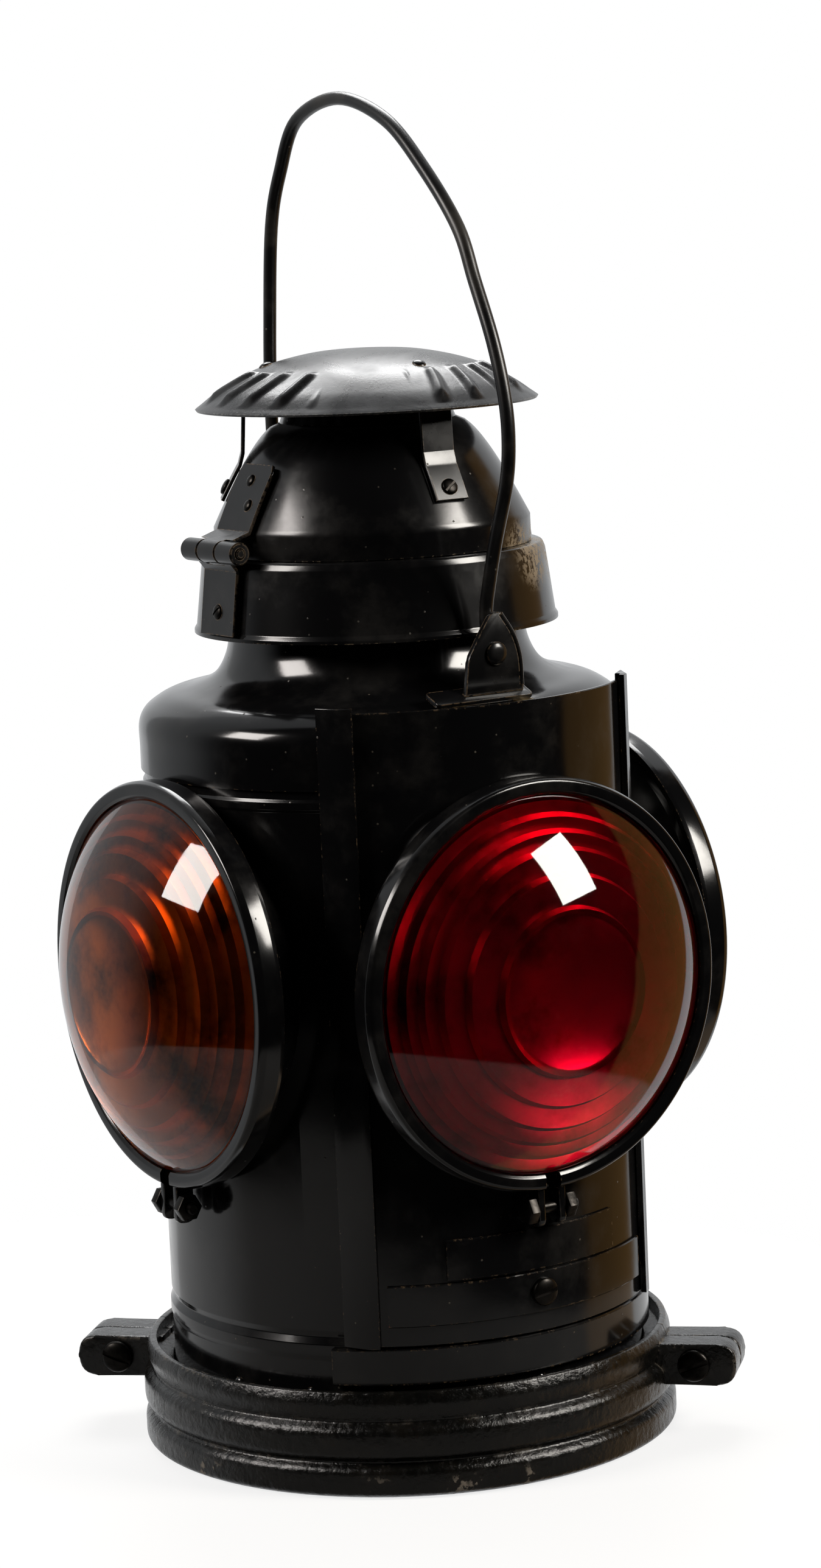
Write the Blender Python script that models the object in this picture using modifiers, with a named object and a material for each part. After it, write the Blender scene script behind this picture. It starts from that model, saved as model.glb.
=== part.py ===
"""A four-lens oil-burning railway switch lamp, as separate named pieces.

Frame: origin at the centre of the base's underside, +Z up, the sliding door and its lens towards -Y.
Sizes are in metres. MM turns a size in millimetres into metres.
"""

import math

import bmesh
import bpy
from mathutils import Matrix, Vector

MM = 0.001

# Sheet metal and fits
SHEET = 0.9 * MM
GAP = 0.3 * MM
BORE_CLEARANCE = 0.35 * MM
STRAP_STANDOFF = GAP + 0.15 * MM
CUT_DEPTH = 5.0 * MM
ROUND_STEPS = 36
LENS_STEPS = 24
FOUNT_STEPS = 24
WALL_STEPS = 48
COLLAR_STEPS = 96
BORE_STEPS = 12
PIN_STEPS = 16

# Cast base ring, in two halves that clamp the body
BASE_HEIGHT = 37.0 * MM
BASE_LEDGE = 7.5 * MM
BASE_GRIP_TOP = 29.5 * MM
BASE_LIP_REACH = 5.5 * MM
BASE_TROUGH = 6.3 * MM
BASE_BEAD_REACH = 11.5 * MM
BASE_WAIST_REACH = 8.1 * MM
BASE_SPLIT = 0.4 * MM
BASE_TROUGH_SLOPE = 2.0 * MM
BASE_FOOT_CHAMFER = (2.5 * MM, 3.0 * MM)
# The ring's beaded side from the top down: reach past the body, and drop below the top.
BASE_SIDE = [
    (BASE_WAIST_REACH + 0.5 * MM, 0.0), (BASE_BEAD_REACH - 1.6 * MM, 4.0 * MM),
    (BASE_WAIST_REACH, 10.6 * MM), (BASE_BEAD_REACH - 0.5 * MM, 14.0 * MM),
    (BASE_BEAD_REACH - 0.5 * MM, 21.0 * MM), (BASE_WAIST_REACH, 24.7 * MM), (BASE_BEAD_REACH, 28.5 * MM),
]
LUG_BOTTOM = 18.0 * MM
LUG_HEIGHT = 15.0 * MM
LUG_REACH = 36.5 * MM
LUG_THICKNESS = 12.0 * MM
LUG_CORNER = 6.0 * MM
LUG_ROOT_INSET = 2.0 * MM
LUG_AZIMUTHS = {"right": math.radians(45.0), "left": math.radians(-135.0)}
LUG_SCREW_RADIUS = 3.0 * MM
LUG_SCREW_HEAD_RADIUS = 5.75 * MM
LUG_SCREW_HEAD_HEIGHT = 3.2 * MM
LUG_SCREW_OFFSET = 21.5 * MM
LUG_SCREW_TAIL = 3.0 * MM
LUG_NUT_WIDTH = 11.0 * MM
LUG_NUT_THICKNESS = 4.5 * MM
SLOT_WIDTH = 1.4 * MM
SLOT_DEPTH = 1.5 * MM
SCREW_HEAD_ANGLES = (0.0, 30.0, 60.0, 90.0)

# Body, shoulder and neck
BODY_RADIUS = 84.5 * MM
SHOULDER_HEIGHT = 259.0 * MM
SHOULDER_RISE = 12.0 * MM
SHELL_TOP_DROP = 2.0 * MM
COLLAR_LAP = 15.0 * MM
EAR_SEAT_INSET = 1.0 * MM
# The bends between neck and shoulder, and between shoulder and collar: reach and rise.
NECK_FLARE = [(2.0 * MM, 24.0 * MM), (6.0 * MM, 17.0 * MM)]
SHOULDER_BEND = [(-1.5 * MM, 7.0 * MM), (0.5 * MM, 3.5 * MM)]
NECK_RADIUS = 52.0 * MM
NECK_FOOT_RISE = 31.0 * MM
NECK_HEIGHT = 58.3 * MM
VENT_RADIUS = 3.5 * MM
VENT_COUNT = 6
VENT_PHASE = 0.45
VENT_DROP = 9.0 * MM
VENT_STEPS = 8
FLOOR_HEIGHT = 52.0 * MM
FLOOR_CORNER = 2.0 * MM
FLOOR_FOOT_RISE = 1.0 * MM
FLOOR_VENT_COUNT = 6
FLOOR_VENT_RADIUS = 5.0 * MM
FLOOR_VENT_CIRCLE = 66.0 * MM
BODY_OPENING_HALF_ANGLE = math.radians(36.0)
BODY_OPENING_RISE = 2.5 * MM
BODY_OPENING_TOP = 66.0 * MM

# Lenses, alike on all four sides
LENS_HEIGHT = 174.0 * MM
GLASS_RIM_RADIUS = 68.4 * MM
GLASS_RIM_WIDTH = 3.4 * MM
GLASS_SAGITTA = 25.0 * MM
GLASS_THICKNESS = 4.0 * MM
GLASS_RIM_THICKNESS = 2.9 * MM
GLASS_DOME_SET_BACK = 1.0 * MM
GLASS_OUTER_STEPS = 5
GLASS_INNER_STEPS = 4
BEZEL_WALL = 2.6 * MM
BEZEL_DEPTH = 9.5 * MM
BEZEL_LIP = 2.9 * MM
BEZEL_REACH = 13.0 * MM
BEZEL_LIP_INSET = 0.5 * MM
BEZEL_LIP_CHAMFER = (1.0 * MM, 0.8 * MM)
BEZEL_EDGE_ROUND = (1.6 * MM, 1.8 * MM)
BEZEL_SLIT_LENGTH = 12.0 * MM
CUP_FLANGE = 2.5 * MM
CUP_FLANGE_INSET = 0.2 * MM
CUP_FLANGE_CHAMFER = 1.0 * MM
CUP_MOUTH_INSET = 0.5 * MM
CUP_MOUTH_DROP = 0.5 * MM
CUP_WALL = 1.6 * MM
CUP_SHOULDER_DROP = 1.5 * MM
CUP_DEPTH_SHARE = 0.35
CUP_BORE_RADIUS = 47.0 * MM
CUP_TAPER = math.atan2(26.5, 30.0)
CLAMP_GAP = 6.0 * MM
CLAMP_EAR_THICKNESS = 2.5 * MM
CLAMP_EAR_DROP = 12.5 * MM
CLAMP_EAR_ROOT = 1.2 * MM
CLAMP_EAR_INSET = 2.5 * MM
CLAMP_BOLT_RADIUS = 2.0 * MM
CLAMP_BOLT_DROP = 6.5 * MM
CLAMP_NUT_WIDTH = 8.5 * MM
CLAMP_BOLT_INSET = 4.3 * MM
CLAMP_BOLT_TAIL = 2.0 * MM
CLAMP_NUT_THICKNESS = 4.0 * MM
LENS_AZIMUTHS = {
    "door": 0.0,
    "right": math.radians(90.0),
    "rear": math.radians(180.0),
    "left": math.radians(-90.0),
}

# Sliding door, its guides and the sill below it
DOOR_HALF_ANGLE = math.radians(40.5)
DOOR_SHEET = 1.2 * MM
DOOR_STANDOFF = 1.8 * MM
DOOR_FOOT_RISE = 0.8 * MM
DOOR_FACE_PLAY = 0.7 * MM
DOOR_SIDE_PLAY = 0.6 * MM
DOOR_TOP_RISE = 11.5 * MM
GUIDE_INNER_ANGLE = math.radians(38.5)
GUIDE_OUTER_ANGLE = math.radians(47.0)
GUIDE_LIP = 2.0 * MM
GUIDE_TOP_RISE = 13.5 * MM
GUIDE_FOOT_RISE = 0.7 * MM
SILL_BOTTOM = 37.5 * MM
SILL_TOP = 50.5 * MM
SILL_HALF_ANGLE = math.radians(50.0)
SILL_STANDOFF = 1.0 * MM
SILL_SHEET = 2.0 * MM
STRIP_BOTTOM_RISE = 7.0 * MM
STRIP_HEIGHT = 14.5 * MM
STRIP_HALF_ANGLE = math.radians(36.5)
PLATE_GAP = 0.4 * MM
PLATE_HEIGHT = 14.5 * MM
PLATE_HALF_ANGLE = math.radians(23.0)
DOOR_SCREW_RADIUS = 2.0 * MM
DOOR_SCREW_HEAD_RADIUS = 5.0 * MM
DOOR_SCREW_HEAD_HEIGHT = 2.6 * MM
DOOR_SCREW_LENGTH = 6.0 * MM

# Hood: fixed skirt, hinged dome and the cap on its three legs
SKIRT_HEIGHT = 27.2 * MM
SKIRT_TOP_REACH = 7.6 * MM
SKIRT_BOTTOM_REACH = 12.3 * MM
SKIRT_LEDGE_LAP = 1.4 * MM
SKIRT_EDGE_REACH = 1.0 * MM
SKIRT_EDGE_DROP = 2.5 * MM
DOME_REACH = 3.8 * MM
DOME_BAND = 9.0 * MM
DOME_HEIGHT = 44.5 * MM
DOME_MOUTH_RADIUS = 31.0 * MM
DOME_ROUNDNESS = 0.78
DOME_CROWN_SHARES = (1.0, 0.88, 0.62, 0.34, 0.12, 0.0)
CAP_RADIUS = 60.3 * MM
CAP_LIFT = 6.7 * MM
CAP_CROWN = 18.3 * MM
# The cap's side from its middle out: share of its radius, and share of its crown's height.
CAP_SHARES = [(0.0, 1.0), (0.32, 0.92), (0.62, 0.68), (0.84, 0.36), (1.0, 0.0)]
LEG_WIDTH = 13.0 * MM
LEG_THICKNESS = 1.3 * MM
LEG_AZIMUTHS = [math.radians(a) for a in (0.0, 120.0, -120.0)]
LEG_TAB_SHARES = (0.50, 0.66)
LEG_TAB_GAP = 0.2 * MM
LEG_BEND_SHARE = 0.73
LEG_BEND_DROP = 5.0 * MM
LEG_KNEE_DROP = 11.0 * MM
LEG_KNEE_OUT = 1.2 * MM
LEG_FOOT_TOP_DROP = 14.5 * MM
LEG_FOOT_LOW_DROP = 26.5 * MM
SLOPE_SAMPLE = 1.0 * MM
STRAP_WIDTH = 22.0 * MM
STRAP_THICKNESS = 1.2 * MM
HINGE_RADIUS = 4.0 * MM
HINGE_PIN_RADIUS = 1.7 * MM
HINGE_LENGTH = 34.0 * MM
HINGE_KNUCKLE = 11.6 * MM
HINGE_REACH = 4.9 * MM
HINGE_RISE = 3.4 * MM
HINGE_ROOM = GAP + 0.2 * MM
HINGE_LEAF_TOP_SHARE = 0.30
HINGE_PIN_TAIL = 0.8 * MM
LEAF_EDGE_OUT = 0.6 * MM
LEAF_EDGE_DROP = 3.0 * MM
LEAF_FOOT_IN = 0.3 * MM
LEAF_FOOT_RISE = 2.0 * MM
LATCH_WIDTH = 11.0 * MM
LATCH_THICKNESS = 1.0 * MM
LATCH_STANDOFF = 1.2 * MM
LATCH_TOP_SHARE = 0.50
LATCH_LEDGE_OUT = 1.2 * MM
LATCH_LEDGE_RISE = 0.5 * MM
LATCH_FOOT_OUT = 0.6 * MM
LATCH_FOOT_RISE = 1.0 * MM
LATCH_TAIL = 4.5 * MM
LATCH_TAIL_DROP = 0.6 * MM

# Bail and its two ears
WIRE_RADIUS = 2.4 * MM
EAR_INSET = 10.5 * MM
EAR_THICKNESS = 2.0 * MM
EAR_PIVOT_RISE = 27.0 * MM
EAR_HEAD_RISE = 14.0 * MM
EAR_FOOT_ENDS = (-13.0 * MM, 11.0 * MM)
EAR_FOOT_RISE = 2.4 * MM
# The ear's sides and head: across, and above the pivot.
EAR_SIDES = [(10.5 * MM, -2.0 * MM), (8.0 * MM, 6.0 * MM), (3.0 * MM, EAR_HEAD_RISE),
             (-1.0 * MM, EAR_HEAD_RISE), (-6.0 * MM, 7.0 * MM), (-11.0 * MM, -1.0 * MM)]
EAR_FOOT_SHIFT = -6.5 * MM
EAR_FOOT_LIFT = GAP + 0.1 * MM
EAR_FOOT_LENGTH = 39.0 * MM
EAR_FOOT_DEPTH = 9.0 * MM
EAR_FOOT_THICKNESS = 1.6 * MM
EAR_FOOT_TILT = math.radians(23.0)
PEEN_RADIUS = 4.0 * MM
PEEN_THICKNESS = 1.5 * MM
BAIL_END_REACH = 5.6 * MM
BAIL_END_SWELL = 0.05 * MM
# The bent wire's route in its own plane: forward of the front pivot, above the pivot.
BAIL_ROUTE_FRONT = [(-3.8, -1.3), (-3.8, 14.0), (-1.8, 22.0), (3.6, 38.0), (11.6, 58.0), (14.0, 73.0),
                    (12.6, 88.0), (7.0, 106.0), (-2.5, 126.0), (-11.4, 144.0), (-31.0, 164.0),
                    (-54.0, 181.0)]
BAIL_CROWN = (-84.0, 189.0)
# The rear half, measured back from the rear pivot.
BAIL_ROUTE_REAR = [(-36.0, 182.0), (-23.0, 164.0), (-15.0, 144.0), (-10.6, 108.0), (-9.0, 84.0),
                   (-8.6, 60.0), (-5.6, 28.0), (-3.9, 14.0), (-3.8, -1.3)]
ROUTE_STEPS = 2

# Oil fount and burner
FOUNT_RADIUS = 45.0 * MM
FOUNT_HEIGHT = 48.0 * MM
FOUNT_CORNER = 6.0 * MM
FOUNT_MOUTH_RADIUS = 9.0 * MM
FILLER_RADIUS = 8.0 * MM
FILLER_OFFSET = 29.0 * MM
FILLER_CAP_RADIUS = 11.0 * MM
FILLER_CAP_HEIGHT = 7.0 * MM
FILLER_CAP_EDGE = 1.5 * MM
FILLER_PLUG_DEPTH = 4.0 * MM
BURNER_RADIUS = 17.0 * MM
BURNER_GALLERY_RADIUS = 23.0 * MM
BURNER_HEIGHT = 42.0 * MM
BURNER_CONE_INSET = 2.0 * MM
GALLERY_FOOT = 14.0 * MM
GALLERY_RIM = (27.5 * MM, 29.0 * MM)
GALLERY_TOP = 30.0 * MM
TUBE_RADIUS = 6.4 * MM
TUBE_HEIGHT = 58.0 * MM
WICK_RADIUS = 4.4 * MM
WICK_SHOWING = 5.0 * MM
WICK_END_RISE = 16.0 * MM
SPINDLE_RADIUS = 1.3 * MM
SPINDLE_HEIGHT = 22.0 * MM
SPINDLE_TAIL = 1.0 * MM
STAR_WHEEL_RADIUS = 3.6 * MM
STAR_WHEEL_WIDTH = 3.0 * MM
STAR_WHEEL_POINTS = 8
STAR_WHEEL_NOTCH = 0.8 * MM
POCKET_SIDE_ROOM = 2.0 * MM
POCKET_TOP_ROOM = 1.4 * MM
POCKET_SET_BACK = 1.0 * MM
POCKET_PAST_GALLERY = 4.6 * MM
KNOB_RADIUS = 8.0 * MM
KNOB_THICKNESS = 3.5 * MM
KNOB_REACH = 33.0 * MM
DRAUGHT_TUBE_RADIUS = 20.0 * MM
DRAUGHT_BELL_RADIUS = 40.0 * MM
DRAUGHT_BELL_DROP = 6.0 * MM
DRAUGHT_BELL_HEIGHT = 18.0 * MM
DRAUGHT_TOP_DROP = 2.0 * MM
DRAUGHT_ARM_GAP = GAP + 0.3 * MM
DRAUGHT_ARM_WIDTH = 10.0 * MM
DRAUGHT_ARM_THICKNESS = 1.2 * MM
DRAUGHT_ARM_DROP = 22.0 * MM
DRAUGHT_ARM_AZIMUTHS = [math.radians(a) for a in (30.0, 150.0, 270.0)]
SPRING_WIDTH = 16.0 * MM
# The spring's bends: out past the fount's side, and above its own seat.
SPRING_ROUTE = [(14.0 * MM, 0.0), (3.0 * MM, 0.0), (3.0 * MM, 12.0 * MM), (1.0 * MM, 20.0 * MM),
                (4.0 * MM, 27.0 * MM)]

# Places that follow from the sizes above
GLASS_VIEW_RADIUS = GLASS_RIM_RADIUS - GLASS_RIM_WIDTH
BASE_FLOOR = BASE_LEDGE + GAP
SHOULDER_TOP = SHOULDER_HEIGHT + SHOULDER_RISE
NECK_TOP = SHOULDER_HEIGHT + NECK_HEIGHT
PIVOT_HEIGHT = SHOULDER_HEIGHT + EAR_PIVOT_RISE
EAR_DISTANCE = BODY_RADIUS - EAR_INSET
BEZEL_FACE = BODY_RADIUS + BEZEL_REACH
BEZEL_BACK = BEZEL_FACE - BEZEL_DEPTH
BEZEL_RADIUS = GLASS_RIM_RADIUS + GAP + BEZEL_WALL
GLASS_SEAT = BEZEL_FACE - BEZEL_LIP - GAP - GLASS_RIM_THICKNESS
DOOR_INNER = BODY_RADIUS + DOOR_STANDOFF
DOOR_OUTER = DOOR_INNER + DOOR_SHEET
DOOR_BOTTOM = SILL_TOP + DOOR_FOOT_RISE
DOOR_TOP = SHOULDER_HEIGHT + DOOR_TOP_RISE
LEDGE_TOP = NECK_TOP + GAP + SHEET
SKIRT_BOTTOM = LEDGE_TOP - SKIRT_HEIGHT
DOME_BOTTOM = LEDGE_TOP + GAP
DOME_RADIUS = NECK_RADIUS + DOME_REACH
CAP_BOTTOM = DOME_BOTTOM + DOME_HEIGHT + CAP_LIFT
HINGE_AXIS = Vector((-(DOME_RADIUS + HINGE_REACH + HINGE_RADIUS), 0.0, DOME_BOTTOM + HINGE_RISE))
FOUNT_BOTTOM = FLOOR_HEIGHT + GAP
FOUNT_TOP = FOUNT_BOTTOM + FOUNT_HEIGHT
BURNER_BOTTOM = FOUNT_TOP + GAP
SPINDLE_OFFSET = WICK_RADIUS + STAR_WHEEL_RADIUS + BORE_CLEARANCE
POCKET_LENGTH = BURNER_GALLERY_RADIUS + POCKET_PAST_GALLERY

# Turned outlines, as radius and height, from the top of the outer side down
SHOULDER_OUTLINE = [
    (NECK_RADIUS, NECK_TOP),
    (NECK_RADIUS, SHOULDER_HEIGHT + NECK_FOOT_RISE),
    *[(NECK_RADIUS + reach, SHOULDER_HEIGHT + rise) for reach, rise in NECK_FLARE],
    (EAR_DISTANCE - EAR_SEAT_INSET, SHOULDER_TOP),
    *[(BODY_RADIUS + reach, SHOULDER_HEIGHT + rise) for reach, rise in SHOULDER_BEND],
    (BODY_RADIUS + GAP + SHEET, SHOULDER_HEIGHT),
    (BODY_RADIUS + GAP + SHEET, SHOULDER_HEIGHT - COLLAR_LAP),
]
SKIRT_OUTLINE = [
    (NECK_RADIUS - SKIRT_LEDGE_LAP, LEDGE_TOP),
    (NECK_RADIUS + SKIRT_TOP_REACH, LEDGE_TOP),
    (NECK_RADIUS + SKIRT_TOP_REACH + SKIRT_EDGE_REACH, LEDGE_TOP - SKIRT_EDGE_DROP),
    (NECK_RADIUS + SKIRT_BOTTOM_REACH, SKIRT_BOTTOM),
]
CAP_OUTLINE = [(CAP_RADIUS * out, CAP_BOTTOM + CAP_CROWN * up) for out, up in CAP_SHARES]


def dome_outline():
    """The dome's outer side: a slightly rounded crown from its mouth down to the straight band."""
    crown = DOME_HEIGHT - DOME_BAND
    reach = DOME_RADIUS - DOME_MOUTH_RADIUS
    points = []
    for share in DOME_CROWN_SHARES:
        radius = DOME_MOUTH_RADIUS + reach * (1.0 - share) ** DOME_ROUNDNESS
        points.append((radius, DOME_BOTTOM + DOME_BAND + crown * share))
    points.append((DOME_RADIUS, DOME_BOTTOM))
    return points


def set_up_scene():
    """Remove every object, and give the collections for parts and for cutters."""
    for obj in list(bpy.data.objects):
        bpy.data.objects.remove(obj, do_unlink=True)
    parts = bpy.data.collections.new("railway_switch_lamp")
    cutters = bpy.data.collections.new("cutters")
    for group in (parts, cutters):
        bpy.context.scene.collection.children.link(group)
    return parts, cutters


PARTS, CUTTERS = set_up_scene()


def paint(name, color, roughness, metallic=0.0, transmission=0.0):
    """A Principled material of one plain colour."""
    made = bpy.data.materials.new(name)
    made.use_nodes = True
    shader = made.node_tree.nodes["Principled BSDF"]
    shader.inputs["Base Color"].default_value = (*color, 1.0)
    shader.inputs["Roughness"].default_value = roughness
    shader.inputs["Metallic"].default_value = metallic
    shader.inputs["Transmission Weight"].default_value = transmission
    made.diffuse_color = (*color, 1.0)
    return made


BLACK_ENAMEL = paint("black_enamel", (0.012, 0.012, 0.013), 0.18)
CAST_BLACK = paint("cast_iron_black", (0.016, 0.015, 0.014), 0.42)
DUSTY_BLACK = paint("dusty_black", (0.030, 0.030, 0.031), 0.35)
RED_GLASS = paint("red_glass", (0.45, 0.004, 0.012), 0.04, transmission=1.0)
AMBER_GLASS = paint("amber_glass", (0.75, 0.16, 0.01), 0.04, transmission=1.0)
STEEL = paint("steel", (0.30, 0.29, 0.27), 0.38, metallic=1.0)
BRASS = paint("brass", (0.62, 0.44, 0.17), 0.32, metallic=1.0)
TINPLATE = paint("tinplate", (0.55, 0.54, 0.50), 0.30, metallic=1.0)
WICK_COTTON = paint("wick_cotton", (0.72, 0.66, 0.52), 0.95)


def as_part(obj, material):
    """Put a finished piece in the parts collection with its material and smooth round faces."""
    PARTS.objects.link(obj)
    obj.data.materials.append(material)
    obj.data.shade_smooth()
    obj.data.set_sharp_from_angle(angle=math.radians(32.0))
    return obj


def as_helper(obj):
    """Put a cutter or a piece that a Boolean joins in the cutters collection, out of the render."""
    CUTTERS.objects.link(obj)
    obj.hide_render = True
    obj.display_type = "WIRE"
    return obj


def place(obj, location=(0.0, 0.0, 0.0), rotation=(0.0, 0.0, 0.0), parent=None):
    """Set an object's place under its parent."""
    obj.location = location
    obj.rotation_euler = rotation
    obj.parent = parent
    return obj


def axis_empty(name, location=(0.0, 0.0, 0.0), rotation=(0.0, 0.0, 0.0), parent=None):
    """An empty that holds the pieces of one body or one repeated group."""
    empty = bpy.data.objects.new(name, None)
    PARTS.objects.link(empty)
    return place(empty, location, rotation, parent)


def mesh_object(name, build):
    """An object whose mesh the given function builds in a bmesh."""
    shape = bmesh.new()
    build(shape)
    mesh = bpy.data.meshes.new(name)
    shape.to_mesh(mesh)
    shape.free()
    return bpy.data.objects.new(name, mesh)


def box(name, size, centre=(0.0, 0.0, 0.0)):
    """A block of the given size about its centre."""
    def build(shape):
        bmesh.ops.create_cube(shape, size=1.0)
        bmesh.ops.scale(shape, vec=size, verts=shape.verts)
        bmesh.ops.translate(shape, vec=centre, verts=shape.verts)
    return mesh_object(name, build)


def cylinder(name, radius, low, high, steps=24, centre=(0.0, 0.0)):
    """A cylinder along Z from low to high."""
    def build(shape):
        bmesh.ops.create_cone(shape, cap_ends=True, segments=steps, radius1=radius, radius2=radius,
                              depth=high - low)
        bmesh.ops.translate(shape, vec=(*centre, (low + high) / 2.0), verts=shape.verts)
    return mesh_object(name, build)


def outline_object(name, outline, closed):
    """An object that holds only the line of a turned profile in the XZ plane."""
    def build(shape):
        corners = [shape.verts.new((radius, 0.0, height)) for radius, height in outline]
        for first, second in zip(corners, corners[1:]):
            shape.edges.new((first, second))
        if closed:
            shape.edges.new((corners[-1], corners[0]))
    return mesh_object(name, build)


def add_screw(obj, steps, angle=2.0 * math.pi):
    """Turn an object's line about its Z axis."""
    screw = obj.modifiers.new("turn", "SCREW")
    screw.angle = angle
    screw.steps = steps
    screw.render_steps = steps
    screw.use_merge_vertices = True
    screw.merge_threshold = 0.00001
    return obj


def turned(name, outline, steps=ROUND_STEPS):
    """A solid of revolution from a closed outline that runs down its outer side."""
    return add_screw(outline_object(name, outline, closed=True), steps)


def turned_from_axis(name, outline, steps=ROUND_STEPS):
    """A solid of revolution whose outline starts and ends on the axis."""
    return add_screw(outline_object(name, outline, closed=False), steps)


def add_thickness(obj, thickness, outward=False):
    """Give an open surface its sheet thickness, inwards unless told otherwise."""
    solid = obj.modifiers.new("sheet", "SOLIDIFY")
    solid.thickness = thickness
    solid.offset = 1.0 if outward else -1.0
    solid.use_even_offset = True
    return obj


def turned_sheet(name, outline, thickness=SHEET, steps=ROUND_STEPS):
    """A turned sheet whose outline is its outer face."""
    return add_thickness(add_screw(outline_object(name, outline, closed=False), steps), thickness)


def curved_sheet(name, radius, low, high, half_angle, thickness, steps):
    """A sheet bent to a radius about Z, centred on the -Y side, thickened outwards."""
    def build(shape):
        start = Matrix.Rotation(-math.pi / 2.0 - half_angle, 4, "Z") @ Vector((radius, 0.0, 0.0))
        top = shape.verts.new((start.x, start.y, high))
        bottom = shape.verts.new((start.x, start.y, low))
        shape.edges.new((top, bottom))
    sheet = add_screw(mesh_object(name, build), steps, 2.0 * half_angle)
    return add_thickness(sheet, thickness, outward=True)


def add_boolean(obj, other, operation="DIFFERENCE"):
    """Cut an object with another, or join another to it."""
    change = obj.modifiers.new(operation.lower() + "_" + other.name, "BOOLEAN")
    change.operation = operation
    change.solver = "EXACT"
    change.object = other
    return obj


def mesh_from_curve(name, curve):
    """A closed mesh object made from a curve, with its caps welded."""
    guide = bpy.data.objects.new(name + "_guide", curve)
    bpy.context.scene.collection.objects.link(guide)
    graph = bpy.context.evaluated_depsgraph_get()
    mesh = bpy.data.meshes.new_from_object(guide.evaluated_get(graph))
    mesh.name = name
    bpy.data.objects.remove(guide, do_unlink=True)
    shape = bmesh.new()
    shape.from_mesh(mesh)
    bmesh.ops.remove_doubles(shape, verts=shape.verts, dist=0.000002)
    bmesh.ops.recalc_face_normals(shape, faces=shape.faces)
    shape.to_mesh(mesh)
    shape.free()
    return bpy.data.objects.new(name, mesh)


def flat(name, outline, thickness):
    """A flat outline in the XY plane, half its thickness to each side."""
    curve = bpy.data.curves.new(name, "CURVE")
    curve.dimensions = "2D"
    curve.fill_mode = "BOTH"
    curve.extrude = thickness / 2.0
    spline = curve.splines.new("POLY")
    spline.points.add(len(outline) - 1)
    for point, (across, up) in zip(spline.points, outline):
        point.co = (across, up, 0.0, 1.0)
    spline.use_cyclic_u = True
    return mesh_from_curve(name, curve)


def strip(name, path, thickness, width):
    """A flat strip bent along a path in the XY plane, with its width along Z."""
    points = [Vector(point) for point in path]
    left, right = [], []
    for index, point in enumerate(points):
        before = points[max(index - 1, 0)]
        after = points[min(index + 1, len(points) - 1)]
        into = (point - before).normalized() if index else (after - point).normalized()
        out = (after - point).normalized() if index < len(points) - 1 else into
        mid = (into + out).normalized()
        side = Vector((-mid.y, mid.x)) * (thickness / 2.0 / max(mid.dot(into), 0.5))
        left.append(tuple(point + side))
        right.append(tuple(point - side))
    return flat(name, left + right[::-1], width)


def tube(name, points, radius):
    """A round wire through the given points."""
    curve = bpy.data.curves.new(name, "CURVE")
    curve.dimensions = "3D"
    curve.bevel_depth = radius
    curve.bevel_resolution = 2
    curve.use_fill_caps = True
    spline = curve.splines.new("POLY")
    spline.points.add(len(points) - 1)
    for point, place_at in zip(spline.points, points):
        point.co = (*place_at, 1.0)
    return mesh_from_curve(name, curve)


def smooth_route(points, steps):
    """Points along a Catmull-Rom curve through the given ones."""
    guides = [Vector(point) for point in points]
    ends = [guides[0] * 2.0 - guides[1], *guides, guides[-1] * 2.0 - guides[-2]]
    route = []
    for before, start, end, after in zip(ends, ends[1:], ends[2:], ends[3:]):
        for step in range(steps):
            t = step / steps
            route.append(0.5 * (
                2.0 * start + (end - before) * t
                + (2.0 * before - 5.0 * start + 4.0 * end - after) * t * t
                + (3.0 * start - before - 3.0 * end + after) * t * t * t
            ))
    route.append(guides[-1])
    return route


def radius_at(outline, height):
    """An outer side's radius at a height, along the outline's straight stretches."""
    for (upper_radius, upper), (lower_radius, lower) in zip(outline, outline[1:]):
        if lower <= height <= upper and upper > lower:
            share = (height - lower) / (upper - lower)
            return lower_radius + share * (upper_radius - lower_radius)
    return outline[-1][0]


def height_at(outline, radius):
    """An outer side's height at a radius, along the outline's straight stretches."""
    for (inner, upper), (outer, lower) in zip(outline, outline[1:]):
        if inner <= radius <= outer and outer > inner:
            share = (radius - inner) / (outer - inner)
            return upper + share * (lower - upper)
    return outline[-1][1]


def hexagon(width):
    """A hexagon of the given width across its flats."""
    corner = width / math.sqrt(3.0)
    return [(corner * math.cos(math.radians(60.0 * i)), corner * math.sin(math.radians(60.0 * i)))
            for i in range(6)]


def slotted_screw(name, shank_radius, shank_length, head_radius, head_height):
    """A round-head slotted screw along Z, its head's seat at zero and its shank below."""
    crown = [(head_radius * math.sin(math.radians(a)), head_height * math.cos(math.radians(a)))
             for a in SCREW_HEAD_ANGLES]
    outline = crown + [(shank_radius, 0.0), (shank_radius, -shank_length), (0.0, -shank_length)]
    screw = turned_from_axis(name, outline, 14)
    slot = as_helper(box(name + "_slot", (head_radius * 3.0, SLOT_WIDTH, SLOT_DEPTH * 2.0),
                         (0.0, 0.0, head_height)))
    return add_boolean(screw, slot), slot


FACE_OUT = (math.radians(90.0), 0.0, 0.0)


def facing(name, azimuth, height=0.0, parent=None):
    """An empty whose X runs round the body, Y up and Z outwards, turned from the door's side."""
    return axis_empty(name, (0.0, 0.0, height), (math.radians(90.0), 0.0, azimuth), parent)


# ---------------------------------------------------------------- base

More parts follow.
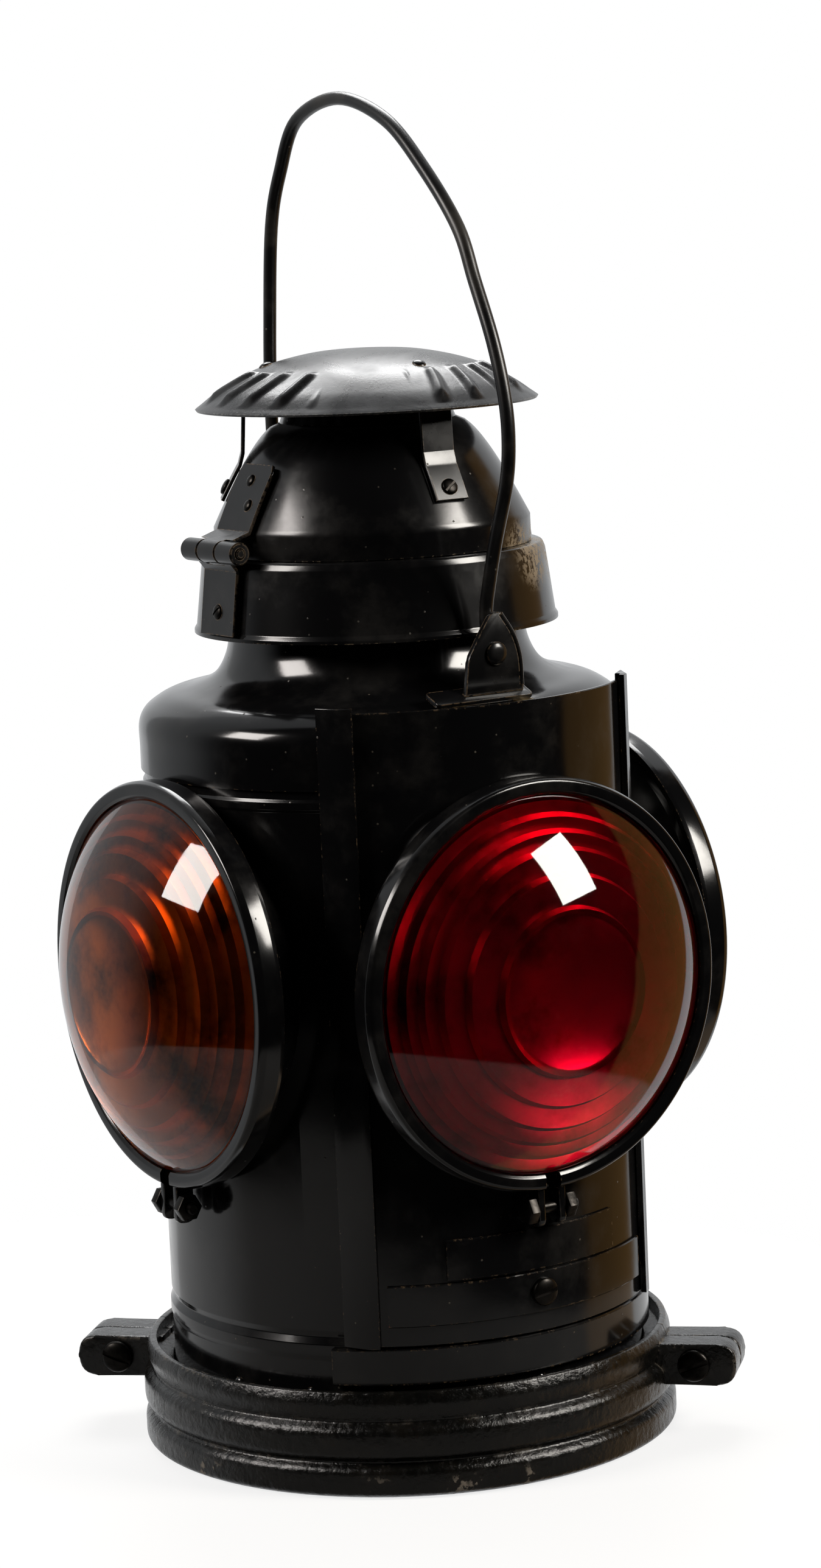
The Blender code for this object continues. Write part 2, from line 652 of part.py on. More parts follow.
def base_outline():
    """The cast ring's section: lip, grip, trough, beads and waists."""
    inner = BODY_RADIUS + BORE_CLEARANCE
    trough = BODY_RADIUS + BASE_TROUGH
    bead = BODY_RADIUS + BASE_BEAD_REACH
    chamfer_in, chamfer_up = BASE_FOOT_CHAMFER
    return [
        (trough, BASE_HEIGHT),
        *[(BODY_RADIUS + reach, BASE_HEIGHT - drop) for reach, drop in BASE_SIDE],
        (bead, chamfer_up),
        (bead - chamfer_in, 0.0),
        (BODY_RADIUS - BASE_LIP_REACH, 0.0),
        (BODY_RADIUS - BASE_LIP_REACH, BASE_LEDGE),
        (inner, BASE_LEDGE),
        (inner, BASE_GRIP_TOP),
        (trough, BASE_GRIP_TOP + BASE_TROUGH_SLOPE),
    ]


def lug_outline():
    """A lug from inside the ring's wall to its round-cornered tip, as distance out and height."""
    root = BODY_RADIUS + BASE_TROUGH - LUG_ROOT_INSET
    tip = BODY_RADIUS + LUG_REACH
    top = LUG_BOTTOM + LUG_HEIGHT
    points = [(root, LUG_BOTTOM)]
    for centre, start in (((tip - LUG_CORNER, LUG_BOTTOM + LUG_CORNER), -90.0),
                          ((tip - LUG_CORNER, top - LUG_CORNER), 0.0)):
        for step in range(4):
            turn = math.radians(start + 30.0 * step)
            points.append((centre[0] + LUG_CORNER * math.cos(turn),
                           centre[1] + LUG_CORNER * math.sin(turn)))
    return points + [(root, top)]


def make_base():
    """Two ring halves, split through the lugs, with a screw and a square nut through each pair."""
    reach = 2.0 * (BODY_RADIUS + LUG_REACH)
    screw_distance = BODY_RADIUS + LUG_SCREW_OFFSET
    screw_height = LUG_BOTTOM + LUG_HEIGHT / 2.0
    split_turn = LUG_AZIMUTHS["right"]
    sides = {"front": -1.0, "rear": 1.0}
    for side, sign in sides.items():
        half = turned("base_ring_" + side, base_outline())
        frame = axis_empty("base_frame_" + side, rotation=(0.0, 0.0, split_turn - math.pi / 2.0))
        other = as_helper(box(
            "base_other_half_" + side, (reach * 1.2, reach, BASE_HEIGHT * 3.0),
            (0.0, -sign * (reach / 2.0 - BASE_SPLIT / 2.0), 0.0),
        ))
        add_boolean(half, place(other, parent=frame))
        for end in (1.0, -1.0):
            lug = as_helper(flat("lug_%s_%d" % (side, end), lug_outline(), LUG_THICKNESS))
            across = sign * (LUG_THICKNESS + BASE_SPLIT) / 2.0
            turn = (math.radians(90.0), 0.0, 0.0 if end > 0 else math.pi)
            add_boolean(half, place(lug, (0.0, across, 0.0), turn, frame), "UNION")
        for end in (1.0, -1.0):
            bore = as_helper(cylinder(
                "lug_bore_%s_%d" % (side, end), LUG_SCREW_RADIUS + BORE_CLEARANCE,
                -3.0 * LUG_THICKNESS, 3.0 * LUG_THICKNESS, PIN_STEPS,
            ))
            add_boolean(half, place(bore, (end * screw_distance, 0.0, screw_height), FACE_OUT, frame))
        place(half)
        as_part(half, CAST_BLACK)
    shank = 2.0 * LUG_THICKNESS + BASE_SPLIT + LUG_NUT_THICKNESS + LUG_SCREW_TAIL
    for side, azimuth in LUG_AZIMUTHS.items():
        end = 1.0 if side == "right" else -1.0
        frame = axis_empty("lug_frame_" + side, rotation=(0.0, 0.0, split_turn - math.pi / 2.0))
        seat = -(LUG_THICKNESS + BASE_SPLIT / 2.0 + GAP)
        screw, slot = slotted_screw(
            "lug_screw_" + side, LUG_SCREW_RADIUS, shank, LUG_SCREW_HEAD_RADIUS, LUG_SCREW_HEAD_HEIGHT)
        for obj in (screw, slot):
            place(obj, (end * screw_distance, seat, screw_height), FACE_OUT, frame)
        as_part(screw, STEEL)
        nut = box("lug_nut_" + side, (LUG_NUT_WIDTH, LUG_NUT_WIDTH, LUG_NUT_THICKNESS))
        bore = as_helper(cylinder("lug_nut_bore_" + side, LUG_SCREW_RADIUS + GAP,
                                  -LUG_NUT_THICKNESS, LUG_NUT_THICKNESS, PIN_STEPS))
        add_boolean(nut, bore)
        for obj in (nut, bore):
            place(obj, (end * screw_distance, -seat + LUG_NUT_THICKNESS / 2.0, screw_height),
                  FACE_OUT, frame)
        as_part(nut, STEEL)


# ---------------------------------------------------------------- body

def make_body():
    """The sheet body with its openings, the floor that the fount stands on, and the shoulder and neck."""
    shell_top = SHOULDER_HEIGHT - SHELL_TOP_DROP
    shell = turned_sheet("body_shell", [(BODY_RADIUS, shell_top), (BODY_RADIUS, LENS_HEIGHT),
                                        (BODY_RADIUS, BASE_FLOOR)])
    opening_width = 2.0 * BODY_RADIUS * math.sin(BODY_OPENING_HALF_ANGLE)
    opening_bottom = FLOOR_HEIGHT + BODY_OPENING_RISE
    opening_top = LENS_HEIGHT + BODY_OPENING_TOP
    opening = as_helper(box(
        "body_opening", (opening_width, BODY_RADIUS, opening_top - opening_bottom),
        (0.0, -BODY_RADIUS, (opening_bottom + opening_top) / 2.0),
    ))
    add_boolean(shell, opening)
    for side in ("right", "rear", "left"):
        bore = as_helper(cylinder("body_bore_" + side, CUP_BORE_RADIUS, BODY_RADIUS / 2.0,
                                  BODY_RADIUS * 1.5, LENS_STEPS))
        frame = facing("body_bore_frame_" + side, LENS_AZIMUTHS[side], LENS_HEIGHT)
        add_boolean(shell, place(bore, parent=frame))
    as_part(shell, BLACK_ENAMEL)

    floor_edge = BODY_RADIUS - SHEET - GAP
    corner = FLOOR_CORNER
    floor_low = BASE_FLOOR + FLOOR_FOOT_RISE
    floor = turned_from_axis("base_pan", [
        (0.0, FLOOR_HEIGHT), (floor_edge - corner, FLOOR_HEIGHT), (floor_edge, FLOOR_HEIGHT - corner),
        (floor_edge, floor_low), (floor_edge - SHEET, floor_low),
        (floor_edge - SHEET, FLOOR_HEIGHT - corner - SHEET / 2.0),
        (floor_edge - corner - SHEET / 2.0, FLOOR_HEIGHT - SHEET), (0.0, FLOOR_HEIGHT - SHEET),
    ])
    for index in range(FLOOR_VENT_COUNT):
        turn = 2.0 * math.pi * (index + VENT_PHASE) / FLOOR_VENT_COUNT
        vent = as_helper(cylinder(
            "floor_vent_%d" % index, FLOOR_VENT_RADIUS, FLOOR_HEIGHT - CUT_DEPTH,
            FLOOR_HEIGHT + CUT_DEPTH, VENT_STEPS,
            (FLOOR_VENT_CIRCLE * math.cos(turn), FLOOR_VENT_CIRCLE * math.sin(turn)),
        ))
        add_boolean(floor, vent)
    as_part(floor, BLACK_ENAMEL)

    top = turned_sheet("body_top", SHOULDER_OUTLINE)
    for index in range(VENT_COUNT):
        turn = 2.0 * math.pi * (index + VENT_PHASE) / VENT_COUNT
        vent = as_helper(cylinder("neck_vent_%d" % index, VENT_RADIUS, NECK_RADIUS - CUT_DEPTH,
                                  NECK_RADIUS + CUT_DEPTH, VENT_STEPS))
        frame = facing("neck_vent_frame_%d" % index, turn, NECK_TOP - VENT_DROP)
        add_boolean(top, place(vent, parent=frame))
    as_part(top, BLACK_ENAMEL)


# ---------------------------------------------------------------- lenses

def glass_outline():
    """A domed glass with a flat rim: distance from its centre line, and out from the lamp's axis."""
    lip = GLASS_SEAT + GLASS_RIM_THICKNESS
    ball = (GLASS_VIEW_RADIUS ** 2 + GLASS_SAGITTA ** 2) / (2.0 * GLASS_SAGITTA)
    dome_foot = BEZEL_FACE - GLASS_DOME_SET_BACK
    ball_centre = dome_foot + GLASS_SAGITTA - ball
    edge_angle = math.asin(GLASS_VIEW_RADIUS / ball)
    outer = [(ball * math.sin(edge_angle * i / GLASS_OUTER_STEPS),
              ball_centre + ball * math.cos(edge_angle * i / GLASS_OUTER_STEPS))
             for i in range(GLASS_OUTER_STEPS + 1)]
    inner_ball = ball - GLASS_THICKNESS
    inner_angle = math.acos((GLASS_SEAT - ball_centre) / inner_ball)
    inner = [(inner_ball * math.sin(inner_angle * i / GLASS_INNER_STEPS),
              ball_centre + inner_ball * math.cos(inner_angle * i / GLASS_INNER_STEPS))
             for i in range(GLASS_INNER_STEPS, -1, -1)]
    rim = [(GLASS_VIEW_RADIUS, lip), (GLASS_RIM_RADIUS, lip), (GLASS_RIM_RADIUS, GLASS_SEAT)]
    return outer + rim + inner


def cup_outline():
    """A conical cup with the flange that the glass sits on."""
    seat = GLASS_SEAT - GAP
    flange = GLASS_RIM_RADIUS - CUP_FLANGE_INSET
    cone_top = seat - CUP_FLANGE
    inner_top = GLASS_VIEW_RADIUS - CUP_MOUTH_INSET
    outer_top = inner_top + CUP_WALL
    shoulder = cone_top - CUP_SHOULDER_DROP
    depth = BODY_RADIUS * CUP_DEPTH_SHARE
    narrowing = depth * math.tan(CUP_TAPER)
    return [
        (inner_top, seat), (flange, seat), (flange, cone_top + CUP_FLANGE_CHAMFER),
        (outer_top, shoulder), (outer_top - narrowing, shoulder - depth),
        (inner_top - narrowing, shoulder - depth), (inner_top, cone_top - CUP_MOUTH_DROP),
    ]


def bezel_outline():
    """The rolled clamp ring's section: a band with a lip over the glass rim."""
    inside = GLASS_RIM_RADIUS + GAP
    lip_inner = GLASS_VIEW_RADIUS + BEZEL_LIP_INSET
    lip_out, lip_down = BEZEL_LIP_CHAMFER
    edge_in, edge_down = BEZEL_EDGE_ROUND
    return [
        (lip_inner, BEZEL_FACE - lip_down), (lip_inner + lip_out, BEZEL_FACE),
        (BEZEL_RADIUS - edge_in, BEZEL_FACE), (BEZEL_RADIUS, BEZEL_FACE - edge_down),
        (BEZEL_RADIUS, BEZEL_BACK), (inside, BEZEL_BACK),
        (inside, BEZEL_FACE - BEZEL_LIP), (lip_inner, BEZEL_FACE - BEZEL_LIP),
    ]


def make_lens(side, parent, glass_material, wall_radius):
    """One lens: its cup on the wall, the glass, the split bezel, and the bolt and nut that close it."""
    frame = facing("lens_frame_" + side, LENS_AZIMUTHS[side], LENS_HEIGHT, parent)
    cup = turned("lens_cup_" + side, cup_outline(), LENS_STEPS)
    wall = as_helper(cylinder("lens_wall_" + side, wall_radius + 2.0 * GAP, -2.0 * BEZEL_RADIUS,
                              2.0 * BEZEL_RADIUS, WALL_STEPS))
    add_boolean(cup, place(wall, rotation=(-math.radians(90.0), 0.0, 0.0), parent=frame))
    as_part(place(cup, parent=frame), BLACK_ENAMEL)

    glass = turned_from_axis("lens_glass_" + side, glass_outline(), LENS_STEPS)
    as_part(place(glass, parent=frame), glass_material)

    bezel = turned("lens_bezel_" + side, bezel_outline(), LENS_STEPS)
    ear_top = -(BEZEL_RADIUS - CLAMP_EAR_ROOT)
    ear_bottom = -(BEZEL_RADIUS + CLAMP_EAR_DROP)
    ear_middle = (BEZEL_FACE + BEZEL_BACK) / 2.0
    slit = as_helper(box("bezel_slit_" + side, (CLAMP_GAP, BEZEL_SLIT_LENGTH, BEZEL_DEPTH * 2.0),
                         (0.0, -BEZEL_RADIUS, ear_middle)))
    add_boolean(bezel, place(slit, parent=frame))
    for hand in (-1.0, 1.0):
        ear = as_helper(box(
            "bezel_ear_%s_%d" % (side, hand),
            (CLAMP_EAR_THICKNESS, ear_top - ear_bottom, BEZEL_DEPTH - CLAMP_EAR_INSET),
            (hand * (CLAMP_GAP + CLAMP_EAR_THICKNESS) / 2.0, (ear_top + ear_bottom) / 2.0, ear_middle),
        ))
        add_boolean(bezel, place(ear, parent=frame), "UNION")
    along = (0.0, math.radians(90.0), 0.0)
    bolt_place = (0.0, -(BEZEL_RADIUS + CLAMP_BOLT_DROP), BEZEL_FACE - CLAMP_BOLT_INSET)
    bore = as_helper(cylinder("bezel_bore_" + side, CLAMP_BOLT_RADIUS + BORE_CLEARANCE,
                              -3.0 * CLAMP_GAP, 3.0 * CLAMP_GAP, BORE_STEPS))
    add_boolean(bezel, place(bore, bolt_place, along, frame))
    as_part(place(bezel, parent=frame), BLACK_ENAMEL)

    outer_face = CLAMP_GAP / 2.0 + CLAMP_EAR_THICKNESS + GAP
    shank_end = outer_face + CLAMP_NUT_THICKNESS + CLAMP_BOLT_TAIL
    head = flat("clamp_bolt_" + side, hexagon(CLAMP_NUT_WIDTH), CLAMP_NUT_THICKNESS)
    head.data.transform(Matrix.Translation((0.0, 0.0, -outer_face - CLAMP_NUT_THICKNESS / 2.0)))
    shank = as_helper(cylinder("clamp_shank_" + side, CLAMP_BOLT_RADIUS,
                               -outer_face - CLAMP_NUT_THICKNESS / 2.0, shank_end, BORE_STEPS))
    add_boolean(head, place(shank, bolt_place, along, frame), "UNION")
    as_part(place(head, bolt_place, along, frame), STEEL)
    nut = flat("clamp_nut_" + side, hexagon(CLAMP_NUT_WIDTH), CLAMP_NUT_THICKNESS)
    nut.data.transform(Matrix.Translation((0.0, 0.0, outer_face + CLAMP_NUT_THICKNESS / 2.0)))
    nut_bore = as_helper(cylinder("clamp_nut_bore_" + side, CLAMP_BOLT_RADIUS + GAP, 0.0,
                                  3.0 * outer_face, BORE_STEPS))
    add_boolean(nut, place(nut_bore, bolt_place, along, frame))
    as_part(place(nut, bolt_place, along, frame), STEEL)


# ---------------------------------------------------------------- door

def arc_points(radius, start, end, steps):
    """Points round the lamp's axis between two azimuths measured from the door's centre."""
    return [(radius * math.sin(start + (end - start) * i / steps),
             -radius * math.cos(start + (end - start) * i / steps)) for i in range(steps + 1)]


def make_guides_and_sill():
    """Two L-section guides that hold the door's edges, and the sill that it stands on."""
    inside = BODY_RADIUS + GAP
    lip_inner = DOOR_OUTER + DOOR_FACE_PLAY
    outside = lip_inner + GUIDE_LIP
    web_angle = DOOR_HALF_ANGLE + DOOR_SIDE_PLAY / DOOR_INNER
    low = SILL_TOP + GUIDE_FOOT_RISE
    high = SHOULDER_HEIGHT + GUIDE_TOP_RISE
    for side, hand in (("right", 1.0), ("left", -1.0)):
        section = (
            arc_points(outside, hand * GUIDE_INNER_ANGLE, hand * GUIDE_OUTER_ANGLE, 3)
            + arc_points(inside, hand * GUIDE_OUTER_ANGLE, hand * web_angle, 2)
            + arc_points(lip_inner, hand * web_angle, hand * GUIDE_INNER_ANGLE, 1)
        )
        guide = flat("door_guide_" + side, section, high - low)
        guide.data.transform(Matrix.Translation((0.0, 0.0, (low + high) / 2.0)))
        collar = as_helper(cylinder("collar_" + side, BODY_RADIUS + SHEET + 2.0 * GAP,
                                    SHOULDER_HEIGHT - COLLAR_LAP - GAP, high + CUT_DEPTH, COLLAR_STEPS))
        add_boolean(guide, collar)
        as_part(guide, BLACK_ENAMEL)
    sill = curved_sheet("door_sill", BODY_RADIUS + SILL_STANDOFF, SILL_BOTTOM, SILL_TOP,
                        SILL_HALF_ANGLE, SILL_SHEET, 20)
    as_part(sill, BLACK_ENAMEL)


def make_door():
    """The sliding door with its strip, blank name plate, screw and lens."""
    slide = axis_empty("door_slide")
    panel = curved_sheet("door_panel", DOOR_INNER, DOOR_BOTTOM, DOOR_TOP, DOOR_HALF_ANGLE,
                         DOOR_SHEET, 18)
    bore = as_helper(cylinder("door_bore", CUP_BORE_RADIUS, BODY_RADIUS / 2.0, BODY_RADIUS * 1.5,
                              LENS_STEPS))
    frame = facing("door_bore_frame", 0.0, LENS_HEIGHT, slide)
    add_boolean(panel, place(bore, parent=frame))
    strip_low = DOOR_BOTTOM + STRIP_BOTTOM_RISE
    strip_high = strip_low + STRIP_HEIGHT
    strip_face = DOOR_OUTER + GAP + SHEET
    screw_height = (strip_low + strip_high) / 2.0
    hole = as_helper(cylinder("door_screw_bore", DOOR_SCREW_RADIUS + BORE_CLEARANCE,
                              BODY_RADIUS / 2.0, BODY_RADIUS * 1.5, BORE_STEPS))
    add_boolean(panel, place(hole, parent=facing("door_screw_bore_frame", 0.0, screw_height, slide)))
    as_part(place(panel, parent=slide), BLACK_ENAMEL)

    bar = curved_sheet("door_strip", DOOR_OUTER + GAP, strip_low, strip_high, STRIP_HALF_ANGLE,
                       SHEET, 16)
    add_boolean(bar, hole)
    as_part(place(bar, parent=slide), BLACK_ENAMEL)
    plate_low = strip_high + GAP + PLATE_GAP
    plate = curved_sheet("name_plate", DOOR_OUTER + GAP, plate_low, plate_low + PLATE_HEIGHT,
                         PLATE_HALF_ANGLE, SHEET, 10)
    as_part(place(plate, parent=slide), BLACK_ENAMEL)
    screw, slot = slotted_screw("door_screw", DOOR_SCREW_RADIUS, DOOR_SCREW_LENGTH,
                                DOOR_SCREW_HEAD_RADIUS, DOOR_SCREW_HEAD_HEIGHT)
    screw_frame = facing("door_screw_frame", 0.0, screw_height, slide)
    for obj in (screw, slot):
        place(obj, (0.0, 0.0, strip_face + GAP), parent=screw_frame)
    as_part(screw, STEEL)
    make_lens("door", slide, RED_GLASS, DOOR_OUTER)


# ---------------------------------------------------------------- hood

def dome_side(drop, outset):
    """A point beside the dome, so far below its mouth and so far out from its outer face."""
    outline = dome_outline()
    height = DOME_BOTTOM + DOME_HEIGHT - drop
    radius = radius_at(outline, height)
    slope = radius_at(outline, height - SLOPE_SAMPLE) - radius_at(outline, height + SLOPE_SAMPLE)
    out = Vector((2.0 * SLOPE_SAMPLE, slope)).normalized()
    return (radius + out.x * outset, height + out.y * outset)


def along_dome(top_drop, bottom_drop, outset, count=5):
    """A path down the dome's side, at an even distance from it."""
    return [dome_side(top_drop + (bottom_drop - top_drop) * i / (count - 1), outset)
            for i in range(count)]


def make_skirt():
    """The fixed hood skirt over the neck, with the ledge that the dome closes on."""
    as_part(turned_sheet("hood_skirt", SKIRT_OUTLINE), BLACK_ENAMEL)


def make_hood(hood):
    """The hinged dome, the cap above it and the three legs between them, on the hinge's axis."""
    back = -HINGE_AXIS
    dome = turned_sheet("hood_dome", dome_outline())
    as_part(place(dome, back, parent=hood), BLACK_ENAMEL)
    cap = turned_sheet("hood_cap", CAP_OUTLINE)
    as_part(place(cap, back, parent=hood), DUSTY_BLACK)
    outset = STRAP_STANDOFF + LEG_THICKNESS / 2.0
    under_cap = SHEET + 2.0 * GAP + LEG_TAB_GAP + LEG_THICKNESS / 2.0
    tab = [(CAP_RADIUS * share, height_at(CAP_OUTLINE, CAP_RADIUS * share) - under_cap)
           for share in LEG_TAB_SHARES]
    knee = dome_side(LEG_KNEE_DROP, outset + LEG_KNEE_OUT)
    path = tab + [(CAP_RADIUS * LEG_BEND_SHARE, tab[1][1] - LEG_BEND_DROP), knee]
    path += along_dome(LEG_FOOT_TOP_DROP, LEG_FOOT_LOW_DROP, outset)
    for index, azimuth in enumerate(LEG_AZIMUTHS, start=1):
        leg = strip("cap_leg_%d" % index, path, LEG_THICKNESS, LEG_WIDTH)
        turn = (math.radians(90.0), 0.0, azimuth - math.pi / 2.0)
        as_part(place(leg, back, turn, hood), DUSTY_BLACK)


def knuckle(name, low, high):
    """One barrel of the hinge, as a joining helper along Z."""
    return as_helper(cylinder(name, HINGE_RADIUS, low, high, PIN_STEPS))


def make_hinge(hood):
    """The hinge's two leaves and its pin. Its axis runs along Y on the -X side."""
    axis_radius = -HINGE_AXIS.x
    half = HINGE_LENGTH / 2.0
    middle = HINGE_KNUCKLE / 2.0
    outset = STRAP_STANDOFF + STRAP_THICKNESS / 2.0
    barrel_wall = HINGE_RADIUS - STRAP_THICKNESS / 2.0
    upper_path = [(axis_radius, HINGE_AXIS.z + barrel_wall)]
    upper_path += along_dome(DOME_HEIGHT - DOME_BAND, DOME_HEIGHT * HINGE_LEAF_TOP_SHARE, outset, 7)
    upper = strip("hinge_leaf_upper", upper_path, STRAP_THICKNESS, STRAP_WIDTH)
    skirt_top = NECK_RADIUS + SKIRT_TOP_REACH + SKIRT_EDGE_REACH
    skirt_low = NECK_RADIUS + SKIRT_BOTTOM_REACH
    lower_path = [(axis_radius, HINGE_AXIS.z - barrel_wall),
                  (skirt_top + outset + LEAF_EDGE_OUT, LEDGE_TOP - LEAF_EDGE_DROP),
                  (skirt_low + outset - LEAF_FOOT_IN, SKIRT_BOTTOM + LEAF_FOOT_RISE)]
    lower = strip("hinge_leaf_lower", lower_path, STRAP_THICKNESS, STRAP_WIDTH)
    side_turn = (math.radians(90.0), 0.0, math.pi)
    room = HINGE_RADIUS + HINGE_ROOM
    bore = as_helper(cylinder("hinge_bore", HINGE_PIN_RADIUS + BORE_CLEARANCE, -half * 2.0, half * 2.0,
                              PIN_STEPS))
    place(bore, HINGE_AXIS, FACE_OUT)
    upper_barrel = place(knuckle("hinge_barrel_upper", -middle, middle), HINGE_AXIS, FACE_OUT)
    inner_end, outer_end = middle + GAP, half + CUT_DEPTH
    for name, low, high in (("low", -outer_end, -inner_end), ("high", inner_end, outer_end)):
        room_cut = as_helper(cylinder("hinge_room_upper_" + name, room, low, high))
        add_boolean(upper, place(room_cut, HINGE_AXIS, FACE_OUT))
    add_boolean(upper, upper_barrel, "UNION")
    add_boolean(upper, bore)
    as_part(place(upper, -HINGE_AXIS, side_turn, hood), BLACK_ENAMEL)
    middle_cut = as_helper(cylinder("hinge_room_lower", room, -inner_end, inner_end))
    add_boolean(lower, place(middle_cut, HINGE_AXIS, FACE_OUT))
    for name, low, high in (("low", -half, -inner_end), ("high", inner_end, half)):
        barrel = place(knuckle("hinge_barrel_lower_" + name, low, high), HINGE_AXIS, FACE_OUT)
        add_boolean(lower, barrel, "UNION")
    add_boolean(lower, bore)
    as_part(place(lower, rotation=side_turn), BLACK_ENAMEL)
    pin = cylinder("hinge_pin", HINGE_PIN_RADIUS, -half - HINGE_PIN_TAIL, half + HINGE_PIN_TAIL,
                   PIN_STEPS)
    as_part(place(pin, HINGE_AXIS, FACE_OUT), STEEL)


def make_latch(hood):
    """The sprung strip that holds the dome down, riveted to the dome opposite the hinge."""
    outset = LATCH_STANDOFF + LATCH_THICKNESS / 2.0
    skirt_top = NECK_RADIUS + SKIRT_TOP_REACH + outset
    skirt_low = NECK_RADIUS + SKIRT_BOTTOM_REACH + outset
    rivet = dome_side(DOME_HEIGHT - DOME_BAND, outset)
    path = along_dome(DOME_HEIGHT * LATCH_TOP_SHARE, DOME_HEIGHT - DOME_BAND, outset, 6)
    path += [
        (skirt_top + LATCH_LEDGE_OUT, LEDGE_TOP + LATCH_LEDGE_RISE),
        (skirt_low + LATCH_FOOT_OUT, SKIRT_BOTTOM + LATCH_FOOT_RISE),
        (skirt_low + LATCH_TAIL, SKIRT_BOTTOM - LATCH_TAIL_DROP),
    ]
    pivot = axis_empty("latch_pivot", Vector((rivet[0], 0.0, rivet[1])) - HINGE_AXIS, parent=hood)
    latch = strip("hood_latch", path, LATCH_THICKNESS, LATCH_WIDTH)
    offset = (-rivet[0], 0.0, -rivet[1])
    as_part(place(latch, offset, FACE_OUT, pivot), BLACK_ENAMEL)


# ---------------------------------------------------------------- bail

def make_bail():
    """The two ears on the shoulder and the wire bail that swings in them."""
    pivot = axis_empty("bail_pivot", (0.0, 0.0, PIVOT_HEIGHT))
    foot = height_at(SHOULDER_OUTLINE, EAR_DISTANCE) + EAR_FOOT_RISE
    outline = [(end, foot) for end in EAR_FOOT_ENDS]
    outline += [(across, PIVOT_HEIGHT + rise) for across, rise in EAR_SIDES]
    for side, azimuth in (("front", 0.0), ("rear", math.pi)):
        frame = facing("ear_frame_" + side, azimuth)
        ear = flat("bail_ear_" + side, outline, EAR_THICKNESS)
        plate = as_helper(box("ear_foot_" + side, (EAR_FOOT_LENGTH, EAR_FOOT_THICKNESS, EAR_FOOT_DEPTH),
                              (EAR_FOOT_SHIFT, EAR_FOOT_THICKNESS / 2.0 + EAR_FOOT_LIFT, 0.0)))
        shoulder_corner = (0.0, SHOULDER_TOP, EAR_DISTANCE - EAR_SEAT_INSET)
        add_boolean(ear, place(plate, shoulder_corner, (EAR_FOOT_TILT, 0.0, 0.0), frame), "UNION")
        bore = as_helper(cylinder("ear_bore_" + side, WIRE_RADIUS + BORE_CLEARANCE,
                                  EAR_DISTANCE - 2.0 * CUT_DEPTH, EAR_DISTANCE + 2.0 * CUT_DEPTH,
                                  PIN_STEPS))
        add_boolean(ear, place(bore, (0.0, PIVOT_HEIGHT, 0.0), parent=frame))
        as_part(place(ear, (0.0, 0.0, EAR_DISTANCE), parent=frame), BLACK_ENAMEL)

    front = [(0.0, -EAR_DISTANCE - forward * MM, up * MM) for forward, up in BAIL_ROUTE_FRONT]
    crown = [(0.0, -EAR_DISTANCE - BAIL_CROWN[0] * MM, BAIL_CROWN[1] * MM)]
    rear = [(0.0, EAR_DISTANCE + back * MM, up * MM) for back, up in BAIL_ROUTE_REAR]
    wire = tube("bail_wire", smooth_route(front + crown + rear, ROUTE_STEPS), WIRE_RADIUS)
    inner_end = EAR_DISTANCE - EAR_THICKNESS / 2.0 - BAIL_END_REACH
    outer_end = EAR_DISTANCE + EAR_THICKNESS / 2.0 + GAP
    for side, azimuth in (("front", 0.0), ("rear", math.pi)):
        frame = facing("bail_end_frame_" + side, azimuth, 0.0, pivot)
        end = as_helper(cylinder("bail_end_" + side, WIRE_RADIUS + BAIL_END_SWELL, inner_end,
                                 outer_end + PEEN_THICKNESS / 2.0, 14))
        peen = as_helper(cylinder("bail_peen_" + side, PEEN_RADIUS, outer_end,
                                  outer_end + PEEN_THICKNESS, PIN_STEPS))
        for obj in (end, peen):
            add_boolean(wire, place(obj, parent=frame), "UNION")
    as_part(place(wire, parent=pivot), BLACK_ENAMEL)


# ---------------------------------------------------------------- oil fount and burner

def make_fount():
    """The hollow oil fount on the floor, its filler cap and the spring that steadies it."""
    inner = FOUNT_RADIUS - SHEET
    low, high = FOUNT_BOTTOM, FOUNT_TOP
    outline = [
        (0.0, low + SHEET), (inner - FOUNT_CORNER, low + SHEET), (inner, low + FOUNT_CORNER),
        (inner, high - FOUNT_CORNER), (inner - FOUNT_CORNER, high - SHEET),
        (FOUNT_MOUTH_RADIUS, high - SHEET), (FOUNT_MOUTH_RADIUS, high),
        (FOUNT_RADIUS - FOUNT_CORNER, high), (FOUNT_RADIUS, high - FOUNT_CORNER),
        (FOUNT_RADIUS, low + FOUNT_CORNER), (FOUNT_RADIUS - FOUNT_CORNER, low), (0.0, low),
    ]
    fount = turned_from_axis("oil_fount", outline, FOUNT_STEPS)
    hole = as_helper(cylinder("filler_hole", FILLER_RADIUS, high - CUT_DEPTH, high + CUT_DEPTH, PIN_STEPS,
                              (-FILLER_OFFSET, 0.0)))
    add_boolean(fount, hole)
    as_part(fount, TINPLATE)

    plug = FILLER_RADIUS - BORE_CLEARANCE
    cap_top = GAP + FILLER_CAP_HEIGHT
    cap = turned_from_axis("filler_cap", [
        (0.0, cap_top), (FILLER_CAP_RADIUS - FILLER_CAP_EDGE, cap_top),
        (FILLER_CAP_RADIUS, cap_top - FILLER_CAP_EDGE), (FILLER_CAP_RADIUS, GAP),
        (plug, GAP), (plug, -FILLER_PLUG_DEPTH), (0.0, -FILLER_PLUG_DEPTH),
    ], FOUNT_STEPS)
    as_part(place(cap, (-FILLER_OFFSET, 0.0, high)), BRASS)

    rest = FLOOR_HEIGHT + GAP + SHEET / 2.0
    path = [(FOUNT_RADIUS + out, rest + up) for out, up in SPRING_ROUTE]
    spring = strip("fount_spring", path, SHEET, SPRING_WIDTH)
    as_part(place(spring, rotation=(math.radians(90.0), 0.0, math.radians(90.0))), BRASS)


